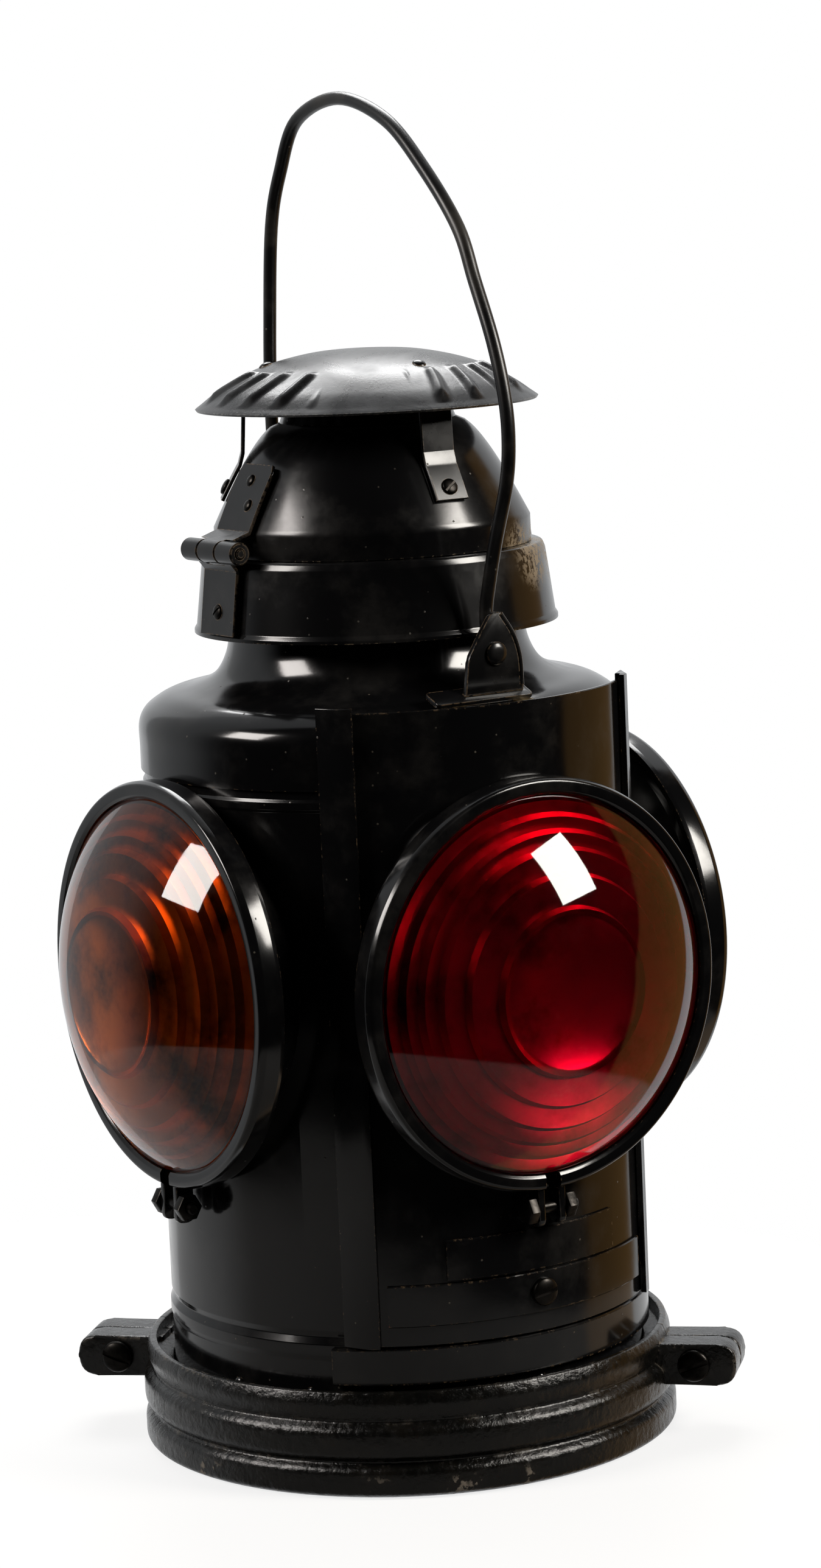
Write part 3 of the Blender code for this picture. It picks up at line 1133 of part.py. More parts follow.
def make_burner():
    """The burner with its wick tube, the wick, and the spindle whose star wheel raises it."""
    low = BURNER_BOTTOM
    bore = WICK_RADIUS + BORE_CLEARANCE
    outline = [
        (bore, low + TUBE_HEIGHT), (TUBE_RADIUS, low + TUBE_HEIGHT), (TUBE_RADIUS, low + BURNER_HEIGHT),
        (BURNER_RADIUS - BURNER_CONE_INSET, low + GALLERY_TOP),
        (BURNER_GALLERY_RADIUS, low + GALLERY_RIM[1]), (BURNER_GALLERY_RADIUS, low + GALLERY_RIM[0]),
        (BURNER_RADIUS, low + GALLERY_FOOT),
        (BURNER_RADIUS, low), (bore, low),
    ]
    burner = turned("burner", outline, FOUNT_STEPS)
    spindle_height = low + SPINDLE_HEIGHT
    pocket = as_helper(box(
        "star_wheel_pocket",
        (STAR_WHEEL_WIDTH + POCKET_SIDE_ROOM, POCKET_LENGTH, 2.0 * STAR_WHEEL_RADIUS + POCKET_TOP_ROOM),
        (0.0, POCKET_LENGTH / 2.0 + POCKET_SET_BACK, spindle_height),
    ))
    add_boolean(burner, pocket)
    along = (0.0, math.radians(90.0), 0.0)
    spindle_bore = as_helper(cylinder("spindle_bore", SPINDLE_RADIUS + BORE_CLEARANCE, -KNOB_REACH,
                                      KNOB_REACH, BORE_STEPS))
    add_boolean(burner, place(spindle_bore, (0.0, SPINDLE_OFFSET, spindle_height), along))
    as_part(burner, BRASS)

    wick = cylinder("wick", WICK_RADIUS, -TUBE_HEIGHT - FOUNT_HEIGHT + WICK_END_RISE, WICK_SHOWING, 20)
    as_part(place(wick, (0.0, 0.0, low + TUBE_HEIGHT)), WICK_COTTON)

    axle = axis_empty("wick_raiser_axis", (0.0, SPINDLE_OFFSET, spindle_height), along)
    spindle = cylinder("wick_spindle", SPINDLE_RADIUS, -BURNER_RADIUS - SPINDLE_TAIL, KNOB_REACH, BORE_STEPS)
    teeth = []
    for index in range(2 * STAR_WHEEL_POINTS):
        reach = STAR_WHEEL_RADIUS - STAR_WHEEL_NOTCH * (index % 2)
        turn = math.pi * index / STAR_WHEEL_POINTS
        teeth.append((reach * math.cos(turn), reach * math.sin(turn)))
    star = as_helper(flat("star_wheel", teeth, STAR_WHEEL_WIDTH))
    add_boolean(spindle, place(star, parent=axle), "UNION")
    as_part(place(spindle, parent=axle), BRASS)
    knob = cylinder("wick_knob", KNOB_RADIUS, 0.0, KNOB_THICKNESS)
    as_part(place(knob, (0.0, 0.0, KNOB_REACH + GAP), parent=axle), BRASS)


def make_draught_tube():
    """The inner chimney in the neck, carried on three arms."""
    low = SHOULDER_HEIGHT - DRAUGHT_BELL_DROP
    outline = [
        (DRAUGHT_TUBE_RADIUS, NECK_TOP - DRAUGHT_TOP_DROP),
        (DRAUGHT_TUBE_RADIUS, low + DRAUGHT_BELL_HEIGHT), (DRAUGHT_BELL_RADIUS, low),
    ]
    tube_piece = turned_sheet("draught_tube", outline, steps=FOUNT_STEPS)
    start = DRAUGHT_TUBE_RADIUS - SHEET / 2.0
    length = NECK_RADIUS - SHEET - DRAUGHT_ARM_GAP - start
    for index, azimuth in enumerate(DRAUGHT_ARM_AZIMUTHS):
        arm = as_helper(box("draught_arm_%d" % index, (length, DRAUGHT_ARM_WIDTH, DRAUGHT_ARM_THICKNESS),
                            (start + length / 2.0, 0.0, NECK_TOP - DRAUGHT_ARM_DROP)))
        place(arm, rotation=(0.0, 0.0, azimuth))
        add_boolean(tube_piece, arm, "UNION")
    as_part(tube_piece, TINPLATE)


def main():
    """Build the lamp from its base up."""
    make_base()
    make_body()
    for side, glass in (("left", AMBER_GLASS), ("right", AMBER_GLASS), ("rear", RED_GLASS)):
        make_lens(side, None, glass, BODY_RADIUS)
    make_guides_and_sill()
    make_door()
    make_skirt()
    hood = axis_empty("hood_hinge_axis", HINGE_AXIS)
    make_hood(hood)
    make_hinge(hood)
    make_latch(hood)
    make_bail()
    make_fount()
    make_burner()
    make_draught_tube()


main()
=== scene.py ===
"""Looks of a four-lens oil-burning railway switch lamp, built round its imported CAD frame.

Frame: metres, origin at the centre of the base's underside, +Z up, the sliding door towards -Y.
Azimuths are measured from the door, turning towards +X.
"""

import logging
import math
from dataclasses import dataclass
from enum import Enum
from typing import Any, Callable, Sequence

import bmesh
import bpy
from mathutils import Matrix, Vector


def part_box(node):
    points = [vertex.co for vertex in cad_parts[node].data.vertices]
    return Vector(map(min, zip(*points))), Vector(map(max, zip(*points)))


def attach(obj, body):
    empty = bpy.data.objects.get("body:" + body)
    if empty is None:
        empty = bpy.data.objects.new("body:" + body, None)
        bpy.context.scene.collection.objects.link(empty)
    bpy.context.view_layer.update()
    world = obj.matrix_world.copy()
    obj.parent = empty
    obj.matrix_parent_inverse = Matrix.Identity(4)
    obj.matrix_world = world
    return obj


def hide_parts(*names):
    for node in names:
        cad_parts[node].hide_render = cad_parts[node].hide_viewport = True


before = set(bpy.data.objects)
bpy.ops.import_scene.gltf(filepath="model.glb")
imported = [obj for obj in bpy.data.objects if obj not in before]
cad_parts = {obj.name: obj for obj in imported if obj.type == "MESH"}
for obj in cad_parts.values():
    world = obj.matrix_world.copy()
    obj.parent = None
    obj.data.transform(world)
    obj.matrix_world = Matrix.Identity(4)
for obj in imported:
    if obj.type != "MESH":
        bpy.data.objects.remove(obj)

LOG = logging.getLogger("railway_lamp")
MM = 0.001
FULL_TURN = 2.0 * math.pi
TURN_STEPS = 180
SHARP_ANGLE = math.radians(38.0)

Point2 = tuple[float, float]
Colour = tuple[float, float, float, float]
Tree = bpy.types.NodeTree
Socket = bpy.types.NodeSocket
Piece = bpy.types.Object
QUARTER = math.radians(90.0)


class Side(Enum):
    """The lamp's four lens sides, with the azimuth each one faces."""

    DOOR = 0.0
    RIGHT = 90.0
    REAR = 180.0
    LEFT = -90.0

    @property
    def azimuth(self) -> float:
        """The side's azimuth in radians."""
        return math.radians(self.value)

    @property
    def tag(self) -> str:
        """The side's name as the CAD nodes end with it."""
        return self.name.lower()

    @property
    def body(self) -> str:
        """The CAD body that the side's lens moves with."""
        return "door" if self is Side.DOOR else "lamp"


# ---------------------------------------------------------------- material nodes

def linear(hex_colour: str) -> Colour:
    """Turn an sRGB hex colour into the linear one that shaders take.

    Args:
        hex_colour: Six hex digits after a hash sign.

    Returns:
        Linear red, green and blue, with an alpha of 1.
    """
    parts = [int(hex_colour[i:i + 2], 16) / 255.0 for i in (1, 3, 5)]
    red, green, blue = (c / 12.92 if c <= 0.04045 else ((c + 0.055) / 1.055) ** 2.4 for c in parts)
    return (red, green, blue, 1.0)


def per(size: float) -> float:
    """The texture scale whose features are about that many millimetres across."""
    return 1.0 / (size * MM)


def feed(tree: Tree, node: bpy.types.Node, inputs: dict[Any, Any]) -> None:
    """Give a node's inputs their values and links.

    Args:
        tree: The node tree.
        node: The node.
        inputs: Values or sockets by input name or number; a socket is linked.
    """
    for name, value in inputs.items():
        if isinstance(value, Socket):
            tree.links.new(value, node.inputs[name])
        else:
            node.inputs[name].default_value = value


def add(tree: Tree, kind: str, inputs: dict[Any, Any] | None = None,
        **settings: Any) -> bpy.types.Node:
    """Add one node with its settings, values and links.

    Args:
        tree: The node tree that takes it.
        kind: Blender's name for the node's type.
        inputs: Values or sockets by input name or number; a socket is linked.
        **settings: The node's own properties.

    Returns:
        The new node.
    """
    node = tree.nodes.new(kind)
    for name, value in settings.items():
        setattr(node, name, value)
    feed(tree, node, inputs or {})
    return node


def noise(tree: Tree, place: Socket, size: float, detail: float,
          roughness: float = 0.5, distortion: float = 0.0) -> Socket:
    """Cloudy noise from 0 to 1.

    Args:
        tree: The node tree.
        place: The point on the piece.
        size: About how many millimetres a feature is across.
        detail: Layers of finer noise.
        roughness: How strong the finer layers are.
        distortion: How far the clouds are drawn out.

    Returns:
        The noise's socket.
    """
    return add(tree, "ShaderNodeTexNoise",
               {"Vector": place, "Scale": per(size), "Detail": detail, "Roughness": roughness,
                "Distortion": distortion}).outputs["Fac"]


def raise_by(tree: Tree, height: Socket, strength: float, rise: float,
             under: Socket | None = None) -> Socket:
    """A normal that makes a height map stand out.

    Args:
        tree: The node tree.
        height: The height map, from 0 to 1.
        strength: The share of it that shows.
        rise: What its full height is, in millimetres.
        under: An earlier normal that it lies on.

    Returns:
        The normal's socket.
    """
    inputs = {"Height": height, "Strength": strength, "Distance": rise * MM}
    if under is not None:
        inputs["Normal"] = under
    return add(tree, "ShaderNodeBump", inputs).outputs["Normal"]


def step_mask(tree: Tree, source: Socket, low: float,
              high: float) -> Socket:
    """A smooth 0 to 1 mask that rises while the source goes from low to high.

    Args:
        tree: The node tree.
        source: The value to read.
        low: Where the mask is 0. It may be above high, and then the mask falls.
        high: Where the mask is 1.

    Returns:
        The mask's socket.
    """
    ramp = add(tree, "ShaderNodeMapRange", {"Value": source, "From Min": low, "From Max": high},
               interpolation_type="SMOOTHSTEP")
    return ramp.outputs["Result"]


def blend_colour(tree: Tree, mask: Socket, first: Any,
                 second: Any) -> Socket:
    """The first colour where the mask is 0 and the second where it is 1.

    Args:
        tree: The node tree.
        mask: A value from 0 to 1.
        first: A colour or a colour socket.
        second: A colour or a colour socket.

    Returns:
        The mixed colour's socket.
    """
    mix = add(tree, "ShaderNodeMix", {0: mask, 6: first, 7: second}, data_type="RGBA")
    return mix.outputs[2]


def combine(tree: Tree, operation: str, *values: Any) -> Socket:
    """One arithmetic step on numbers or value sockets.

    Args:
        tree: The node tree.
        operation: Blender's name for it, such as MULTIPLY.
        *values: One to three numbers or sockets.

    Returns:
        The result's socket.
    """
    return add(tree, "ShaderNodeMath", dict(enumerate(values)), operation=operation,
               use_clamp=True).outputs[0]


def edge_mask(tree: Tree, reach: float) -> Socket:
    """A mask that is 1 on edges, where handling rubs a coat thin, and 0 on open surface.

    Args:
        tree: The node tree.
        reach: How many millimetres from an edge it fades out.

    Returns:
        The mask's socket.
    """
    eased = add(tree, "ShaderNodeBevel", {"Radius": reach * MM}, samples=4).outputs["Normal"]
    flat = add(tree, "ShaderNodeNewGeometry").outputs["Normal"]
    turn = add(tree, "ShaderNodeVectorMath", {0: eased, 1: flat}, operation="DOT_PRODUCT")
    return step_mask(tree, turn.outputs["Value"], 0.985, 0.88)


@dataclass(frozen=True)
class Finish:
    """A surface finish that lays its nodes once and then gives the same material."""

    name: str

    def material(self) -> bpy.types.Material:
        """The finish's material, made the first time that a piece asks for it."""
        made = bpy.data.materials.get(self.name)
        if made is None:
            made = bpy.data.materials.new(self.name)
            made.use_nodes = True
            tree = made.node_tree
            self.lay(tree, tree.nodes["Principled BSDF"],
                     add(tree, "ShaderNodeTexCoord").outputs["Object"])
        return made

    def lay(self, tree: Tree, shader: bpy.types.Node, place: Socket) -> None:
        """Lay the finish's nodes. Each kind of finish has its own.

        Args:
            tree: The material's node tree.
            shader: Its Principled shader.
            place: The point on the piece in the row frame, in metres.
        """
        raise NotImplementedError


@dataclass(frozen=True)
class StovedEnamel(Finish):
    """Black stoving enamel, dipped and baked over tinned sheet steel.

    The eye gets a deep wet gloss on slightly uneven sheet, with dust that has settled into it, fine
    rub marks, and brownish steel where corners have lost their enamel.
    """

    black: str = "#0a0a0b"
    rubbed: str = "#1c1b1a"
    dust: str = "#5d574c"
    bare: str = "#6e5a42"
    roughness: float = 0.13
    ripple: float = 0.06
    dustiness: float = 0.5
    wear: float = 0.5
    edge: float = 0.7
    scuffs: tuple[tuple[float, float, float, float], ...] = ()

    def lay(self, tree: Tree, shader: bpy.types.Node, place: Socket) -> None:
        """Lay gloss black, rubbed patches, dust specks, chips and the sheet's ripple."""
        # Handling marks are 20 to 30 mm patches; dust specks are about 0.6 mm; chips are 1 to 3 mm.
        patches = noise(tree, place, 28.0, 5.0, 0.62)
        grit = noise(tree, place, 2.2, 4.0, 0.7)
        cells = add(tree, "ShaderNodeTexVoronoi", {"Vector": place, "Scale": per(4.5)})
        speck = step_mask(tree, cells.outputs["Distance"], 0.11, 0.04)
        chosen = step_mask(tree, cells.outputs["Color"], 0.62, 0.72)
        specks = combine(tree, "MULTIPLY", speck, chosen)
        rubbed = step_mask(tree, patches, 0.46, 0.72)
        edge = combine(tree, "MULTIPLY", edge_mask(tree, self.edge),
                       step_mask(tree, grit, 0.68 - 0.3 * self.wear, 0.78 - 0.25 * self.wear))
        for x, y, z, radius in self.scuffs:
            away = add(tree, "ShaderNodeVectorMath", {0: place, 1: (x * MM, y * MM, z * MM)},
                       operation="DISTANCE").outputs["Value"]
            near = step_mask(tree, away, radius * MM, 0.4 * radius * MM)
            scuff = combine(tree, "MULTIPLY", near, step_mask(tree, grit, 0.42, 0.56))
            edge = combine(tree, "MAXIMUM", edge, scuff)
        colour = blend_colour(tree, rubbed, linear(self.black), linear(self.rubbed))
        colour = blend_colour(tree, combine(tree, "MULTIPLY", specks, self.dustiness), colour,
                              linear(self.dust))
        colour = blend_colour(tree, edge, colour, linear(self.bare))
        dull = combine(tree, "MULTIPLY_ADD", rubbed, 0.10, self.roughness)
        dull = combine(tree, "MULTIPLY_ADD", specks, 0.35, dull)
        dull = combine(tree, "MULTIPLY_ADD", edge, 0.30, dull)
        wave = noise(tree, place, 34.0, 1.0)
        peel = noise(tree, place, 1.6, 2.0)
        sheet = raise_by(tree, wave, self.ripple, 6.0)
        skin = raise_by(tree, peel, 0.05, 0.1, sheet)
        raised = raise_by(tree, specks, 0.35, 0.1, skin)
        feed(tree, shader, {"Base Color": colour, "Roughness": dull, "Normal": raised, "IOR": 1.5})


@dataclass(frozen=True)
class PaintedCasting(Finish):
    """Sand-cast iron under thick black paint.

    The eye gets the sand's 1 mm grain softened by paint, a satin sheen, and grey-brown iron where
    the raised beads have been knocked.
    """

    black: str = "#080807"
    worn: str = "#12100d"
    iron: str = "#7d7468"
    roughness: float = 0.17

    def lay(self, tree: Tree, shader: bpy.types.Node, place: Socket) -> None:
        """Lay satin black over cast grain, with knocked edges and brown soil in patches."""
        grain = noise(tree, place, 2.6, 5.0, 0.62)
        lumps = noise(tree, place, 11.0, 3.0)
        knocks = combine(tree, "MULTIPLY", edge_mask(tree, 2.2), step_mask(tree, lumps, 0.50, 0.60))
        knocks = combine(tree, "MULTIPLY", knocks, step_mask(tree, grain, 0.46, 0.56))
        height = add(tree, "ShaderNodeSeparateXYZ", {"Vector": place}).outputs["Z"]
        low = step_mask(tree, height, 9.0 * MM, 4.0 * MM)
        chips = combine(tree, "MULTIPLY", low, step_mask(tree, lumps, 0.60, 0.66))
        chips = combine(tree, "MULTIPLY", chips, step_mask(tree, grain, 0.50, 0.57))
        knocks = combine(tree, "MAXIMUM", knocks, chips)
        colour = blend_colour(tree, step_mask(tree, lumps, 0.4, 0.7), linear(self.black),
                              linear(self.worn))
        colour = blend_colour(tree, knocks, colour, linear(self.iron))
        dull = combine(tree, "MULTIPLY_ADD", step_mask(tree, grain, 0.35, 0.75), 0.14,
                       self.roughness)
        dull = combine(tree, "MULTIPLY_ADD", knocks, 0.3, dull)
        cast = raise_by(tree, grain, 0.45, 0.9)
        swell = raise_by(tree, lumps, 0.35, 1.6, cast)
        feed(tree, shader, {"Base Color": colour, "Roughness": dull, "Normal": swell})


@dataclass(frozen=True)
class WeatheredEnamel(Finish):
    """Stoving enamel that heat and handling have dulled, on the cap over the flame.

    The eye gets a satin grey-black with streaks of settled dust and lighter rubbed ridges.
    """

    black: str = "#0b0b0c"
    bloom: str = "#222325"
    bare: str = "#6b675f"
    roughness: float = 0.24

    def lay(self, tree: Tree, shader: bpy.types.Node, place: Socket) -> None:
        """Lay satin black with a grey bloom in drifts, rubbed ridges and fine scratches."""
        drift = noise(tree, place, 22.0, 6.0, 0.66, 0.6)
        fine = noise(tree, place, 1.4, 4.0, 0.75)
        ridge = combine(tree, "MULTIPLY", edge_mask(tree, 0.8), step_mask(tree, fine, 0.45, 0.6))
        colour = blend_colour(tree, step_mask(tree, drift, 0.42, 0.74), linear(self.black),
                              linear(self.bloom))
        colour = blend_colour(tree, ridge, colour, linear(self.bare))
        dull = combine(tree, "MULTIPLY_ADD", step_mask(tree, drift, 0.35, 0.8), 0.2, self.roughness)
        bump = raise_by(tree, fine, 0.18, 0.3)
        feed(tree, shader, {"Base Color": colour, "Roughness": dull, "Normal": bump})


@dataclass(frozen=True)
class PressedGlass(Finish):
    """Signal glass, coloured all through and pressed in a mould, then fire-polished outside.

    The eye gets a clear, saturated body colour, a wet highlight, and a few smears.
    """

    tint: str
    smear: str = "#e8c8c0"
    roughness: float = 0.03

    def lay(self, tree: Tree, shader: bpy.types.Node, place: Socket) -> None:
        """Lay clear tinted glass with smears that dull its gloss."""
        cloud = noise(tree, place, 18.0, 6.0, 0.7)
        smear = step_mask(tree, cloud, 0.55, 0.8)
        colour = blend_colour(tree, combine(tree, "MULTIPLY", smear, 0.25), linear(self.tint),
                              linear(self.smear))
        dull = combine(tree, "MULTIPLY_ADD", smear, 0.10, self.roughness)
        feed(tree, shader, {"Base Color": colour, "Roughness": dull, "IOR": 1.52,
                            "Specular IOR Level": 0.4, "Transmission Weight": 1.0})


@dataclass(frozen=True)
class GlassBack(Finish):
    """The stepped inside of the signal glass, filmed with soot that throws light back out.

    The eye gets bright rings where a step turns towards the light, and dark ones elsewhere.
    """

    film: str
    soot: str
    roughness: float = 0.3

    def lay(self, tree: Tree, shader: bpy.types.Node, place: Socket) -> None:
        """Lay a satin film with sooty drifts."""
        cloud = noise(tree, place, 24.0, 5.0, 0.6)
        colour = blend_colour(tree, step_mask(tree, cloud, 0.4, 0.75), linear(self.film),
                              linear(self.soot))
        feed(tree, shader, {"Base Color": colour, "Roughness": self.roughness, "Metallic": 1.0})


@dataclass(frozen=True)
class BareMetal(Finish):
    """A turned or drawn metal that has tarnished: steel, brass or tinplate.

    The eye gets a satin metal with darker tarnish in patches and fine drawn lines.
    """

    bright: str = "#8d8a84"
    tarnish: str = "#4a433a"
    roughness: float = 0.34
    patch: float = 6.0

    def lay(self, tree: Tree, shader: bpy.types.Node, place: Socket) -> None:
        """Lay the metal with tarnish patches and a fine grain."""
        cloud = noise(tree, place, self.patch, 5.0, 0.6)
        grain = noise(tree, place, 0.8, 2.0)
        stain = step_mask(tree, cloud, 0.42, 0.68)
        bump = raise_by(tree, grain, 0.12, 0.1)
        colour = blend_colour(tree, stain, linear(self.bright), linear(self.tarnish))
        dull = combine(tree, "MULTIPLY_ADD", stain, 0.2, self.roughness)
        feed(tree, shader,
             {"Base Color": colour, "Roughness": dull, "Normal": bump, "Metallic": 1.0})


@dataclass(frozen=True)
class WovenWick(Finish):
    """Round plaited cotton wick, charred at its tip.

    The eye gets a cream plait of 1.5 mm strands that turns brown and black at the burning end.
    """

    cotton: str = "#d8cdb0"
    char: str = "#1a120c"
    tip_height: float = 0.0

    def lay(self, tree: Tree, shader: bpy.types.Node, place: Socket) -> None:
        """Lay the plait as crossed bands and char the top few millimetres."""
        height = add(tree, "ShaderNodeSeparateXYZ", {"Vector": place}).outputs["Z"]
        burnt = step_mask(tree, height, self.tip_height - 4.0 * MM, self.tip_height - 0.5 * MM)
        plait = add(tree, "ShaderNodeTexWave", {"Vector": place, "Scale": per(1.5) / FULL_TURN,
                                                "Distortion": 1.5}, bands_direction="DIAGONAL")
        bump = raise_by(tree, plait.outputs["Fac"], 0.6, 0.4)
        colour = blend_colour(tree, burnt, linear(self.cotton), linear(self.char))
        feed(tree, shader, {"Base Color": colour, "Roughness": 0.95, "Normal": bump})


ENAMEL = StovedEnamel("black_stoving_enamel")
DOME_ENAMEL = StovedEnamel("black_stoving_enamel_hood", roughness=0.17, bare="#7d6e58",
                           dustiness=0.35,
                           scuffs=((32.0, -48.0, 315.0, 15.0), (46.0, -34.0, 314.0, 14.0)))
DOOR_ENAMEL = StovedEnamel("black_stoving_enamel_door", ripple=0.09, dustiness=0.6)
STRAP_ENAMEL = StovedEnamel("brushed_black_enamel_fittings", roughness=0.22, wear=0.9,
                            dustiness=0.7)
WIRE_ENAMEL = StovedEnamel("black_enamel_on_wire", roughness=0.3, wear=0.8, rubbed="#2a2723")
CASTING = PaintedCasting("painted_cast_iron")
CAP_ENAMEL = WeatheredEnamel("weathered_black_enamel")
RUBY = PressedGlass("ruby_signal_glass", tint="#cc1040")
RUBY_BACK = GlassBack("ruby_glass_inside", film="#d46078", soot="#7c2438")
AMBER = PressedGlass("amber_signal_glass", tint="#ffb858", smear="#f0e0c8")
AMBER_BACK = GlassBack("amber_glass_inside", film="#c08048", soot="#40240e")
STEEL = BareMetal("blackened_steel_fasteners", bright="#2a2826", tarnish="#141312", roughness=0.3)
BRASS = BareMetal("tarnished_rolled_brass", bright="#b08d4a", tarnish="#6b4f24")
TINPLATE = BareMetal("tinplate", bright="#b4b2ac", tarnish="#6d675c", patch=14.0)
SOLDER = BareMetal("soft_solder", bright="#8a7a5c", tarnish="#3a3022", roughness=0.45, patch=3.0)


# ---------------------------------------------------------------- meshes

def rounded(points: Sequence[tuple[float, float, float]], closed: bool = True) -> list[Point2]:
    """Round the corners of a section.

    Args:
        points: Corners as (across, up, corner radius), in metres.
        closed: Whether the last corner joins the first.

    Returns:
        The section's points with an arc at each rounded corner.
    """
    made: list[Point2] = []
    count = len(points)
    for index, (x, y, radius) in enumerate(points):
        corner = Vector((x, y))
        if radius <= 0.0 or (not closed and index in (0, count - 1)):
            made.append((x, y))
            continue
        before = Vector(points[index - 1][:2]) - corner
        after = Vector(points[(index + 1) % count][:2]) - corner
        half = before.angle(after) / 2.0
        reach = min(radius / math.tan(half), 0.49 * before.length, 0.49 * after.length)
        start, end = corner + before.normalized() * reach, corner + after.normalized() * reach
        steps = max(2, int((math.pi - 2.0 * half) / math.radians(14.0)))
        for step in range(steps + 1):
            share = step / steps
            point = start.lerp(corner, share).lerp(corner.lerp(end, share), share)
            made.append((point.x, point.y))
    return made


def cylinder(radius: float, low: float, high: float) -> list[Point2]:
    """The section of a solid cylinder between two heights."""
    return [(0.0, low), (radius, low), (radius, high), (0.0, high)]


def oblong(left: float, right: float, low: float, high: float) -> list[Point2]:
    """The outline of an oblong, anticlockwise from its lower left corner."""
    return [(left, low), (right, low), (right, high), (left, high)]


def middle_height(node: str) -> float:
    """The height of the middle of a CAD node."""
    low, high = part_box(node)
    return (low.z + high.z) / 2.0


def smooth_line(points: Sequence[Sequence[float]], steps: int = 8) -> list[Vector]:
    """A smooth line through points, by Catmull and Rom's rule.

    Args:
        points: Points of two or three coordinates.
        steps: Pieces between each two of them.

    Returns:
        The points of the smooth line.
    """
    known = [Vector(p) for p in points]
    known = [known[0] * 2.0 - known[1]] + known + [known[-1] * 2.0 - known[-2]]
    made = []
    for a, b, c, d in zip(known, known[1:], known[2:], known[3:]):
        for step in range(steps):
            t = step / steps
            made.append(0.5 * (2.0 * b + (c - a) * t + (2.0 * a - 5.0 * b + 4.0 * c - d) * t * t
                               + (3.0 * b - a - 3.0 * c + d) * t ** 3))
    return made + [known[-2]]


def sheet_section(side: Sequence[Sequence[float]], thickness: float) -> list[Point2]:
    """A closed section of sheet metal whose outer side is the given line.

    Args:
        side: The outer side from its top down, as radius and height.
        thickness: The sheet's thickness, laid on the inner side.

    Returns:
        The closed section.
    """
    outer = [Vector(p[:2]) for p in side]
    inner = []
    for index, point in enumerate(outer):
        run = outer[min(index + 1, len(outer) - 1)] - outer[max(index - 1, 0)]
        at = point + Vector((run.y, -run.x)).normalized() * thickness
        near = min((p - at).length for p in outer)
        if near > 0.97 * thickness and not (inner and (inner[-1] - at).length < 0.02 * MM):
            inner.append(at)
    return [tuple(p) for p in outer + inner[::-1]]


def facing(azimuth: float, height: float = 0.0, reach: float = 0.0) -> Matrix:
    """A place on the lamp's side: X runs round to the right, Y up and Z outward.

    Args:
        azimuth: Direction from the lamp's axis, in radians from the door.
        height: Height above the base's underside.
        reach: Distance from the axis.

    Returns:
        The matrix of that place.
    """
    out = Vector((math.sin(azimuth), -math.cos(azimuth), 0.0))
    up = Vector((0.0, 0.0, 1.0))
    made = Matrix((up.cross(out), up, out)).transposed().to_4x4()
    made.translation = out * reach + up * height
    return made


def finish_mesh(name: str, shape: bmesh.types.BMesh, finish: Finish,
                place: Matrix | None = None) -> Piece:
    """Turn a bmesh into a smooth-shaded piece.

    Args:
        name: The piece's name.
        shape: Its mesh, which is freed.
        finish: Its surface finish.
        place: Where it goes, applied to the mesh.

    Returns:
        The new object.
    """
    bmesh.ops.remove_doubles(shape, verts=shape.verts, dist=1e-7)
    bmesh.ops.recalc_face_normals(shape, faces=shape.faces)
    mesh = bpy.data.meshes.new(name)
    shape.to_mesh(mesh)
    shape.free()
    if place is not None:
        mesh.transform(place)
    obj = bpy.data.objects.new(name, mesh)
    bpy.context.scene.collection.objects.link(obj)
    mesh.materials.append(finish.material())
    mesh.shade_smooth()
    mesh.set_sharp_from_angle(angle=SHARP_ANGLE)
    return obj


def turned(name: str, section: Sequence[Point2], finish: Finish, place: Matrix | None = None,
           steps: int = TURN_STEPS, start: float = 0.0, sweep: float = FULL_TURN,
           relief: Callable[[float, float, float], tuple[float, float]] | None = None,
           ) -> Piece:
    """Turn a closed section round the Z axis.

    Args:
        name: The piece's name.
        section: Closed section as radius and height; points on the axis are allowed.
        finish: Its surface finish.
        place: Where the Z axis goes.
        steps: Steps round the whole sweep.
        start: Azimuth where the sweep starts, in radians from the door.
        sweep: How far it turns; less than a full turn leaves flat ends.
        relief: Gives the radius and height added at an azimuth, radius and height.

    Returns:
        The new object.
    """
    shape = bmesh.new()
    whole = sweep > FULL_TURN - 1e-6
    rings = []
    for step in range(steps if whole else steps + 1):
        turn = start + sweep * step / steps
        ring = []
        for radius, height in section:
            extra = relief(turn, radius, height) if relief else (0.0, 0.0)
            reach = radius + extra[0]
            ring.append(shape.verts.new((reach * math.sin(turn), -reach * math.cos(turn),
                                         height + extra[1])))
        rings.append(ring)
    count = len(section)
    for index in range(len(rings) if whole else len(rings) - 1):
        here, there = rings[index], rings[(index + 1) % len(rings)]
        for k in range(count):
            if section[k][0] > 0.0 or section[(k + 1) % count][0] > 0.0:
                shape.faces.new((here[k], here[(k + 1) % count], there[(k + 1) % count], there[k]))
    if not whole:
        shape.faces.new(rings[0])
        shape.faces.new(rings[-1][::-1])
    return finish_mesh(name, shape, finish, place)


